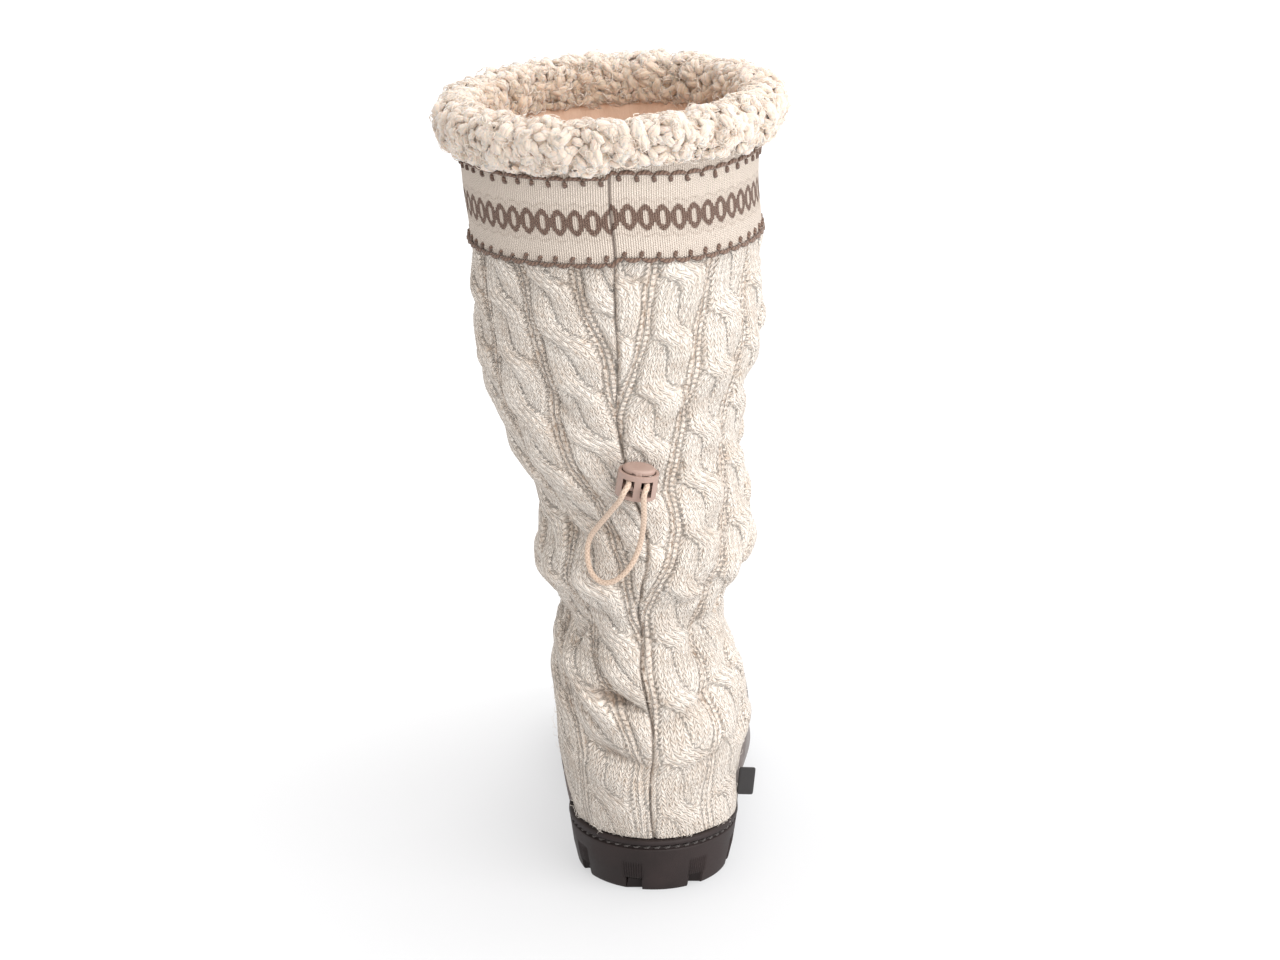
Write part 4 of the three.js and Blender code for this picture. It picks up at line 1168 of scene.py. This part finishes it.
# Fleece cuff: its section, out from the knit and up from the collar
CUFF_ARC = [
    (1.6, -14.0),
    (6.5, -15.2),
    (9.8, -8.5),
    (9.4, 0.0),
    (5.0, 4.6),
    (-1.5, 5.6),
    (-7.0, 2.6),
    (-8.6, -5.0),
    (-7.0, -13.0),
    (-3.5, -15.0),
]
CUFF_OUTER = (0.3, 0.5)
CUFF_INSIDE = (0.55, 0.85)
CUFF_STEP = 3.0
CUFF_STEP_EDGE = (-0.003, 0.003)
CUFF_STEP_END = (0.05, 0.4)
CUFF_NOTCH = 2.6
CUFF_NOTCH_REACH = 0.012
CUFF_BESIDE = 0.004
# Heights off the cuff, in millimetres, over which the pile's painted shade fades out.
PILE_SHADE_HEIGHTS = (-2.2, 1.4)
CURL_ROWS = 18
CURLS_AROUND = 92
CURL_RADIUS = 3.6
CURL_PART = 1.2
STRANDS = 3
STRAND_RADIUS = 1.5
FIBRES = 1900


def cuff_at(s, arc):
    """A place on the cuff: its section's arc, from 0 under the outer roll to 1 inside, carried round the
    collar, lumpy by two sines, with a smooth step and a bell's notch at the back seam. Returns points, with
    the outward direction across the section."""
    line = smooth_path(np.array([(out, up, 0) for out, up in CUFF_ARC], float), 12)
    share = walked(line) / walked(line)[-1]
    out = np.interp(arc, share, line[:, 0])
    up = np.interp(arc, share, line[:, 1])
    level = UPPER_TOP + np.minimum(up, 0)
    normal = sample(MASTER_NORMALS, s, level)
    normal[..., 2] = 0
    normal = unit(normal)
    lump = 0.8 * np.sin(17 * np.pi * s + 5 * arc) + 0.7 * np.sin(31 * np.pi * s - 9 * arc)
    points = sample(MASTER_POINTS, s, level) + normal * (out + lump * np.sign(out))[..., None]
    points[..., 2] += np.maximum(up, 0) + 0.6 * lump
    outer = 1 - smooth(*CUFF_OUTER, arc)
    points[..., 2] += CUFF_STEP * outer * smooth(*CUFF_STEP_EDGE, s) * (1 - smooth(*CUFF_STEP_END, s))
    points = points - normal * (CUFF_NOTCH * outer * bell(s, 0, CUFF_NOTCH_REACH))[..., None]
    d = 0.01
    slope_out = np.interp(arc + d, share, line[:, 0]) - np.interp(arc - d, share, line[:, 0])
    slope_up = np.interp(arc + d, share, line[:, 1]) - np.interp(arc - d, share, line[:, 1])
    facing = normal * slope_up[..., None]
    facing[..., 2] = -slope_out
    return points, unit(facing)


def on_cuff(s, arc, spin):
    """Places on the cuff with three axes each: outwards, and two along the cuff turned by an angle."""
    base, facing = cuff_at(s, arc)
    beside, _ = cuff_at(np.clip(s + CUFF_BESIDE, -1, 1), arc)
    behind, _ = cuff_at(np.clip(s - CUFF_BESIDE, -1, 1), arc)
    along = unit(beside - behind)
    down = np.cross(facing, along)
    spin = spin[:, None]
    first = along * np.cos(spin) + down * np.sin(spin)
    second = down * np.cos(spin) - along * np.sin(spin)
    return base, facing, first, second


def pile_mesh(name, material, base, facing, path, width, sides, reference, inside_shade):
    """Tubes of pile joined in one mesh, with how deep each point lies in the pile, which sets its painted
    shade, a tint for each tube, and how much painted shade it takes for being turned to the inside of the
    boot."""
    count, steps = path.shape[:2]
    tubes = tube_points(path, width, sides, reference[:, None])
    uv = tube_uv(count, sides, np.linspace(0, 3, steps)) + RNG.uniform(0, 9, (count, 1, 1, 2))
    height = ((tubes - base[:, None, None]) * facing[:, None, None]).sum(-1)
    # Painted shade by depth in the pile.
    depth = 1 - smooth(*PILE_SHADE_HEIGHTS, height)
    tint = np.broadcast_to(RNG.uniform(0, 1, (count, 1, 1)), depth.shape)
    values = {"depth": depth, "tint": tint, "inside_shade": np.broadcast_to(inside_shade[:, None, None], depth.shape)}
    return make_mesh(name, tubes, tube_quads(count, steps, sides), material, uv, values)


def inside_share(arc):
    """How far a place on the cuff is turned to the inside of the boot, by a smooth step."""
    return smooth(*CUFF_INSIDE, arc)


def cuff_backing(material):
    """The cuff's backing, sunk below the pile."""
    s, arc = np.meshgrid(np.linspace(-1, 1, 160, endpoint=False), np.linspace(0, 1, 40))
    points, facing = cuff_at(s, arc)
    uv = np.stack([s * 60, arc * 20], -1)
    # Painted shade: the backing takes the full depth shade, and the inside shade where the cuff turns into
    # the boot.
    values = {"depth": np.ones(s.shape), "tint": np.ones(s.shape), "inside_shade": inside_share(arc)}
    quads = grid_quads(*s.shape, wrap=True)
    return belong(make_mesh("fleece_backing", points - facing * 1.2, quads, material, uv, values), "fleece")


def cuff_curls(material):
    """Locks of pile set all over the cuff: each is a few strands that rise out of the backing together, roll
    over as an arc, part in the middle by a sine, and are thin at their ends."""
    count = CURL_ROWS * CURLS_AROUND
    i, j = np.meshgrid(np.arange(CURLS_AROUND), np.arange(CURL_ROWS))
    i, j = i.ravel(), j.ravel()
    s = (i + 0.5 * (j % 2) + RNG.uniform(-0.48, 0.48, count)) / CURLS_AROUND * 2 % 2 - 1
    arc = (j + 0.5 + RNG.uniform(-0.48, 0.48, count)) / CURL_ROWS
    base, facing, first, second = on_cuff(s, arc, RNG.normal(0.5 * np.pi, 0.9, count))
    t = np.linspace(0, 1, 5)
    sweep = RNG.uniform(1.8, 3.4, (count, 1))
    angle = (np.pi - sweep) / 2 + sweep * t
    size = RNG.uniform(0.6, 1.25, (count, 1))
    radius = CURL_RADIUS * size
    sink = radius * RNG.uniform(0.75, 1.1, (count, 1)) - 0.4
    lock = base[:, None] + facing[:, None] * (radius * np.sin(angle) - sink)[..., None]
    lock = lock + first[:, None] * (radius * np.cos(angle))[..., None]
    bend = RNG.uniform(-2.2, 2.2, (count, 1)) * (t - 0.5)
    bend = bend + RNG.uniform(-1.4, 1.4, (count, 1)) * np.sin(2 * np.pi * t)
    lock = lock + second[:, None] * bend[..., None]
    beside = np.arange(STRANDS) - (STRANDS - 1) / 2 + RNG.uniform(-0.3, 0.3, (count, STRANDS))
    part = beside[..., None] * (CURL_PART * size * np.sin(np.pi * (0.1 + 0.8 * t)))[:, None]
    drop = (0.35 * beside**2 + RNG.uniform(-0.4, 0.4, (count, STRANDS)))[..., None] * np.ones(len(t))
    path = lock[:, None] + second[:, None, None] * part[..., None] - facing[:, None, None] * drop[..., None]
    width = STRAND_RADIUS * size * np.sqrt(np.maximum(np.sin(np.pi * (0.03 + 0.94 * t)), 0))
    path = path.reshape(-1, len(t), 3)
    # inside_share sets the painted shade on the inside of the cuff.
    width, base, facing, second, inside_shade = (
        np.repeat(v, STRANDS, axis=0) for v in (width, base, facing, second, inside_share(arc))
    )
    curls = pile_mesh("fleece_curls", material, base, facing, path, width, 5, second, inside_shade)
    return belong(curls, "fleece", "fleece_cuff")


def cuff_fibres(material):
    """Loose wavy fibres over the curls: each leaves the pile, waves to and fro as a sine and bends over."""
    s = RNG.uniform(-1, 1, FIBRES)
    arc = RNG.uniform(0, 1, FIBRES)
    base, facing, first, second = on_cuff(s, arc, RNG.uniform(0, 2 * np.pi, FIBRES))
    t = np.linspace(0, 1, 6)
    long = RNG.uniform(4.0, 9.0, (FIBRES, 1))
    rise = RNG.uniform(1.2, 3.2, (FIBRES, 1)) * np.sin(np.pi * (0.1 + 0.75 * t)) - 0.2
    wave = RNG.uniform(0.5, 1.3, (FIBRES, 1)) * np.sin(2 * np.pi * (t * RNG.uniform(1.0, 2.2, (FIBRES, 1))))
    path = base[:, None] + facing[:, None] * rise[..., None] + first[:, None] * (long * (t - 0.5))[..., None]
    path = path + second[:, None] * wave[..., None]
    width = RNG.uniform(0.16, 0.3, (FIBRES, 1)) * (1 - 0.6 * np.abs(2 * t - 1) ** 3)
    loose = pile_mesh("fleece_fibres", material, base, facing, path, width, 3, second, inside_share(arc))
    return belong(loose, "fleece")


sherpa = fleece_finish()
cuff_backing(sherpa)
cuff_curls(sherpa)
cuff_fibres(fibre_finish())

# Suede panel
OVERLAY_START = 0.16
OVERLAY_HEIGHTS = (27.0, 110.0)


def overlay_piece():
    """The suede panel: each column of the surface from the sole up to where it meets the panel's rear edge,
    found by a straight line between the last height inside and the first outside, and rounded in at that
    edge. Heights are a millimetre apart."""
    s = np.linspace(OVERLAY_START, 1, 180)
    s = np.concatenate([-s[::-1], s[:-1]])
    heights = np.arange(*OVERLAY_HEIGHTS)
    grid_s, grid_z = np.meshgrid(s, heights)
    place = sample(MASTER_POINTS, grid_s, grid_z)
    room = overlay_room(place)
    first = np.argmax(room <= 0, axis=0)
    columns = np.flatnonzero(first > 0)
    first = first[columns]
    above, below = room[first - 1, columns], room[first, columns]
    top = heights[first - 1] + above / (above - below)
    columns = np.roll(columns, -np.argmax(s[columns] > 0))
    top = np.roll(top, -np.argmax(s[np.sort(columns)] > 0))
    t = (1 - (1 - np.linspace(0, 1, 64)) ** 1.7)[:, None]
    z = heights[0] + t * (top - heights[0])
    s = np.broadcast_to(s[columns], z.shape)
    out = OVERLAY_OUT - OVERLAY_ROLL * (1 - cap(top - z, OVERLAY_EDGE_ROUND))
    points = skin(s, z, out)
    panel = make_mesh("suede_panel", points, grid_quads(*z.shape), suede_finish())
    return belong(panel, "suede", "vamp_overlay")


overlay_piece()

# Sole
SOLE_OUTLINE = {
    "back": -40.0,
    "front": 232.0,
    "medial": 40.3,
    "lateral": 40.3,
    "ball_medial": 45.5,
    "ball_lateral": 47.5,
    "heel_cap": 50.0,
    "toe_cap": 90.0,
}
SOLE_STEPS = 1200
STITCH_WALL = 4.6
LUG_COUNT = 18
LUG_START = 24.0
NOTCH_HALF = 4.5
NOTCH_IN = 11.0
RIB_PITCH = 1.3
RIB_HALF = 5.85
RIB_BOTTOM = 5.8
RIB_TOP = 15.2
RIB_DEPTH = 0.65

# Side of the sole: shares of its height, and how far in it stands there
WALL_SHARES = [0, 0.05, 0.45, 1]
WALL_INSETS = [4.8, 4.2, 2.2, 0.5]

# Stitch groove, lip and ledge: how far below the top, and how far in
RIM_STEPS = [
    (4.45, 0.8),
    (4.2, 1.9),
    (2.7, 1.9),
    (2.4, 0.8),
    (2.2, 0.2),
    (1.9, 0.0),
    (1.0, 0.0),
    (0.5, 0.15),
    (0.15, 0.4),
    (0.0, 0.8),
    (0.0, 3.0),
    (0.0, 7.0),
    (0.0, 12.0),
]

# Grooves of the tread: middle across and along the foot, width and length
GROOVE_DEPTH = 4.0
TREAD_GROOVES = [
    (-12, 5, 4, 56),
    (12, 5, 4, 56),
    (0, -12, 28, 4),
    (0, 22, 28, 4),
    (-14, 138, 4, 66),
    (12, 138, 4, 66),
    (-1, 118, 30, 4),
    (-1, 158, 30, 4),
]


def sole_line():
    """The sole's outline from the heel's back by the outer side to the toe and home, with the way walked."""
    section = {name: np.array([value]) for name, value in SOLE_OUTLINE.items()}
    outer = half_outline(section, 1, [1.0], SOLE_STEPS)
    inner = half_outline(section, -1, [1.0], SOLE_STEPS)
    x = np.concatenate([outer[0][0], inner[0][0][-2::-1]])
    y = np.concatenate([outer[1][0], inner[1][0][-2::-1]])
    return x, y, np.concatenate([[0], np.cumsum(np.hypot(np.diff(x), np.diff(y)))])


SOLE_X, SOLE_Y, SOLE_WALKED = sole_line()
SOLE_ROUND = SOLE_WALKED[-1]
LUG_PITCH = SOLE_ROUND / LUG_COUNT


def sole_place(distance):
    """Points of the outline, and the directions inwards, square to it."""
    step = 0.5

    def at(d):
        """The outline's point at a distance round."""
        d = d % SOLE_ROUND
        return np.stack([np.interp(d, SOLE_WALKED, SOLE_X), np.interp(d, SOLE_WALKED, SOLE_Y)], -1)

    ahead = unit(at(distance + step) - at(distance - step))
    inward = np.stack([-ahead[..., 1], ahead[..., 0]], -1)
    return at(distance), inward


def from_notch(distance):
    """Signed distance round to the nearest notch between lugs."""
    return (distance - LUG_START + LUG_PITCH / 2) % LUG_PITCH - LUG_PITCH / 2


def sole_columns():
    """Distances round the sole: close together at the ribs above each notch, and wide apart between."""
    dense = np.linspace(-RIB_HALF - 0.4, RIB_HALF + 0.4, 50)
    sparse = np.linspace(RIB_HALF + 0.4, LUG_PITCH - RIB_HALF - 0.4, 20)[1:-1]
    one = np.concatenate([dense, sparse])
    return (LUG_START + one[None] + np.arange(LUG_COUNT)[:, None] * LUG_PITCH).ravel()


def outsole_wall(material):
    """The sole's side: rings of the outline drawn in by the wall's inset, notched between the lugs and ribbed
    above each notch by a cosine, then the stitch groove, the lip and the ledge."""
    around = sole_columns()
    line, inward = sole_place(around)
    bottom, top = sole_bottom(line[:, 1]), sole_top(line[:, 1])
    share = np.concatenate([[0, 0.02, 0.05], np.linspace(0.1, 1, 22)])[:, None]
    height = mix(bottom, top - STITCH_WALL, share)
    inset = np.broadcast_to(np.interp(share, WALL_SHARES, WALL_INSETS), height.shape)
    off = from_notch(around)[None]
    up = height - bottom
    notch = 1 - smooth(NOTCH_HALF - 0.2, NOTCH_HALF + 0.2, np.abs(off))
    inset = inset + NOTCH_IN * notch * (1 - smooth(LUG_DEPTH - 0.5, LUG_DEPTH + 0.3, up))
    patch = 1 - smooth(RIB_HALF - 0.5, RIB_HALF, np.abs(off))
    patch = patch * smooth(RIB_BOTTOM - 0.5, RIB_BOTTOM, up) * (1 - smooth(RIB_TOP - 2, RIB_TOP, up))
    inset = inset + RIB_DEPTH * patch * (1 - np.cos(2 * np.pi * off / RIB_PITCH)) / 2
    under, draw = np.array(RIM_STEPS).T
    height = np.concatenate([height, top - under[:, None]])
    inset = np.concatenate([inset, np.broadcast_to(draw[:, None], (len(draw), len(around)))])
    flat = line[None] + inward[None] * inset[..., None]
    points = np.concatenate([flat, height[..., None]], -1)
    wall = make_mesh("outsole_wall", points, grid_quads(*height.shape, wrap=True), material)
    return belong(wall, "sole_rubber", "outsole")


def outsole_tread(material):
    """The underside: rungs from side to side of the outline, raised in the grooves and notches."""
    share, t = np.meshgrid(np.linspace(0.004, 0.996, 220), np.linspace(0, 1, 60), indexing="ij")
    half = np.interp(SOLE_OUTLINE["front"], SOLE_Y[: SOLE_STEPS + 1], SOLE_WALKED[: SOLE_STEPS + 1])
    outer_at = share * half
    inner_at = SOLE_ROUND - share * (SOLE_ROUND - half)
    outer, outer_in = sole_place(outer_at)
    inner, inner_in = sole_place(inner_at)
    draw = np.interp(0, WALL_SHARES, WALL_INSETS)
    flat = mix(inner + inner_in * draw, outer + outer_in * draw, t[..., None])
    x, y = flat[..., 0], flat[..., 1]
    hollow = np.zeros_like(x)
    for gx, gy, wide, long in TREAD_GROOVES:
        inside = 1 - smooth(wide / 2 - 0.7, wide / 2 + 0.3, np.abs(x - gx))
        hollow = np.maximum(hollow, inside * (1 - smooth(long / 2 - 0.7, long / 2 + 0.3, np.abs(y - gy))))
    z = np.maximum(sole_bottom(y), GROOVE_DEPTH * hollow)
    width = np.linalg.norm(outer - inner, axis=-1)
    for side, reach in ((outer_at, (1 - t) * width), (inner_at, t * width)):
        notch = (np.abs(from_notch(side)) < NOTCH_HALF) & (reach < NOTCH_IN - draw + 5)
        z = np.where(notch, np.maximum(z, sole_bottom(y) + LUG_DEPTH), z)
    points = np.stack([x, y, z + 0.02], -1)
    tread = make_mesh("outsole_tread", points, grid_quads(*x.shape), material)
    return belong(tread, "sole_rubber")


WELT_PITCH = 5.0
WELT_LONG = 3.4
WELT_IN = 1.9
WELT_BOW = 1.0
WELT_UNDER = 3.45
WELT_SLANT = 0.5
WELT_RADIUS = 0.55


def welt_stitches():
    """Stitches lying in the sole's groove: short bowed threads, one after another round the sole."""
    count = int(SOLE_ROUND / WELT_PITCH)
    t = np.linspace(0, 1, 7)
    distance = np.arange(count)[:, None] * SOLE_ROUND / count + t * WELT_LONG
    line, inward = sole_place(distance)
    bow = np.sin(np.pi * t)
    flat = line + inward * (WELT_IN - WELT_BOW * bow)[None, :, None]
    height = sole_top(line[..., 1]) - WELT_UNDER + WELT_SLANT * (t - 0.5)
    points = np.concatenate([flat, height[..., None]], -1)
    width = WELT_RADIUS * np.sqrt(np.maximum(np.sin(np.pi * (0.06 + 0.88 * t)), 0))
    width = np.broadcast_to(width, distance.shape)
    tubes = tube_points(points, width, 6, np.array([0, 0, 1.0]))
    uv = tube_uv(count, 6, t * 3)
    material = yarn_finish("welt_thread", (0.085, 0.066, 0.062, 1), (0.03, 0.022, 0.02, 1))
    return belong(make_mesh("welt_stitch", tubes, tube_quads(count, len(t), 6), material, uv), "sole_rubber")


rubber = rubber_finish()
outsole_wall(rubber)
outsole_tread(rubber)
welt_stitches()

# Label
LABEL = {
    "y": 8.0,
    "z": 38.0,
    "reach": 8.0,
    "tall": 13.5,
    "thick": 1.2,
    "droop": 6.0,
    "turn": 12.0,
    "gap": 1.1,
}
LABEL_RIB = 0.5


def label_piece():
    """The folded tab: a superellipse of its three half sizes, drooped and turned."""
    section, low = levels(np.array([LABEL["z"]]))
    xs, ys, _ = half_outline(section, 1, low)
    root = np.interp(LABEL["y"], ys[0], xs[0]) + LABEL["gap"]
    turn, rise = np.meshgrid(np.linspace(-np.pi, np.pi, 49)[:-1], np.linspace(-np.pi / 2, np.pi / 2, 25))

    def corner(value, power):
        """A value's size to a power, with its sign."""
        return np.sign(value) * np.abs(value) ** power

    x = LABEL["reach"] / 2 * (1 + corner(np.cos(rise), 0.12) * corner(np.cos(turn), 0.2))
    y = LABEL["thick"] / 2 * corner(np.cos(rise), 0.12) * corner(np.sin(turn), 0.7)
    z = LABEL["tall"] / 2 * corner(np.sin(rise), 0.2)
    droop, swing = math.radians(LABEL["droop"]), math.radians(LABEL["turn"])
    x, z = x * math.cos(droop) + z * math.sin(droop), z * math.cos(droop) - x * math.sin(droop)
    x, y = x * math.cos(swing) - y * math.sin(swing), x * math.sin(swing) + y * math.cos(swing)
    lift = LABEL["z"] + sole_top(LABEL["y"]) - SOLE_HEIGHT
    points = np.stack([x + root, y + LABEL["y"], z + lift], -1)
    uv = np.stack([turn, z / LABEL_RIB], -1)
    tab = make_mesh("ribbon_tab", points, grid_quads(*turn.shape, wrap=True), ribbon_finish(), uv)
    return belong(tab, "ribbon", "side_label")


label_piece()

# Cord lock
EDGE_ROUND = 0.45
SHARP_ANGLE = math.radians(38)
SPRING = {"radius": 3.4, "wire": 0.42, "turns": 2.5, "foot": 0.6, "head": 0.5, "keep": 0.08}


def rounded_copy(node, name, material, body):
    """A copy of a moulded solid with its doubles merged and its edges rounded."""
    mesh = cad_nodes[node].data.copy()
    mesh.name = name
    shape = bmesh.new()
    shape.from_mesh(mesh)
    bmesh.ops.remove_doubles(shape, verts=shape.verts, dist=1e-6)
    bmesh.ops.dissolve_limit(shape, angle_limit=0.002, verts=shape.verts, edges=shape.edges)
    shape.to_mesh(mesh)
    shape.free()
    mesh.materials.clear()
    mesh.materials.append(material)
    mesh.polygons.foreach_set("use_smooth", np.ones(len(mesh.polygons), bool))
    mesh.set_sharp_from_angle(angle=SHARP_ANGLE)
    piece = stand(name, mesh)
    rounding = piece.modifiers.new("rounding", "BEVEL")
    rounding.width = EDGE_ROUND * MM
    rounding.segments = 3
    rounding.limit_method = "ANGLE"
    rounding.angle_limit = SHARP_ANGLE
    rounding.harden_normals = False
    return belong(piece, "lock_plastic", node, body=body)


def spring_piece():
    """The lock's spring: a helix of wire from the barrel's floor up to the button."""
    low = BARREL_FLOOR + SPRING["foot"]
    high = BARREL_FLOOR + GAP + BUTTON_TRAVEL - SPRING["head"]
    t = np.linspace(0, 1, 120)
    turn = t * SPRING["turns"] * 2 * np.pi
    path = np.stack([SPRING["radius"] * np.cos(turn), SPRING["radius"] * np.sin(turn), mix(low, high, t)], -1)
    spring = one_tube("lock_spring", in_lock(path), SPRING["wire"] / 2, 6, steel_finish(), 1.0)
    belong(spring, "lock_plastic")
    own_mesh(spring)


plastic = lock_finish()
rounded_copy("lock_barrel", "cord_lock_barrel", plastic, "boot")
rounded_copy("lock_button", "cord_lock_button", plastic, "push_button")
spring_piece()
cad_nodes["insole"].material_slots[0].material = footbed_finish()


# Floor and light: the fade of the floor and the places of the lights are in metres
FLOOR_COLOUR = (0.27, 0.277, 0.285, 1)
FLOOR_NEAR = (0.53, 0.53, 0.535, 1)
FLOOR_FAR = (0.78, 0.78, 0.78, 1)
FLOOR_FADE = (0.08, 0.55)
FLOOR_REACH = 40000.0
LIGHT_AIM = (0, 0, 0.18)
LIGHTS = {
    "key": {"place": (1.65, -1.3, 1.3), "size": 2.8, "power": 73, "colour": (1.0, 0.995, 0.99)},
    "fill": {"place": (-0.3, -2.3, 0.9), "size": 1.8, "power": 7, "colour": (1.0, 0.93, 0.86)},
    "over": {"place": (0.3, 0.7, 2.2), "size": 2.0, "power": 32, "colour": (1.0, 0.99, 0.98)},
}
SURROUND_COLOUR = (1.0, 0.96, 0.925, 1)
SURROUND_STRENGTH = 0.83


def make_floor():
    """A broad pale floor that glows a little, and more so far from the boot, by a smooth step."""
    corners = [(x, y, 0) for y in (-FLOOR_REACH, FLOOR_REACH) for x in (-FLOOR_REACH, FLOOR_REACH)]
    f = Finish("pale_floor", 0.8)
    away = f.node("ShaderNodeVectorMath", operation="LENGTH")
    f.put(away.inputs[0], f.place.outputs["Object"])
    glow = f.mix(f.step(away.outputs["Value"], *FLOOR_FADE), FLOOR_NEAR, FLOOR_FAR)
    f.put(f.shader.inputs["Emission Color"], glow)
    f.shader.inputs["Emission Strength"].default_value = 1.0
    floor = make_mesh("floor", corners, [[0, 1, 3, 2]], f.done(FLOOR_COLOUR))


def make_light(name, place, size, power, colour):
    """A square soft light at a place, facing the boot."""
    data = bpy.data.lights.new(name, "AREA")
    data.size = size
    data.energy = power
    data.color = colour
    lamp = stand(name, data)
    lamp.location = place
    lamp.rotation_euler = (Vector(LIGHT_AIM) - Vector(place)).to_track_quat("-Z", "Y").to_euler()


def make_lights():
    """A soft key from the right, a weak fill from behind, a light from above and an even pale surround."""
    for name, light in LIGHTS.items():
        make_light(name, **light)
    world = bpy.data.worlds.new("surround")
    bpy.context.scene.world = world
    world.use_nodes = True
    background = world.node_tree.nodes["Background"]
    background.inputs["Color"].default_value = SURROUND_COLOUR
    background.inputs["Strength"].default_value = SURROUND_STRENGTH
    bpy.context.scene.view_settings.view_transform = "Standard"


make_floor()
make_lights()
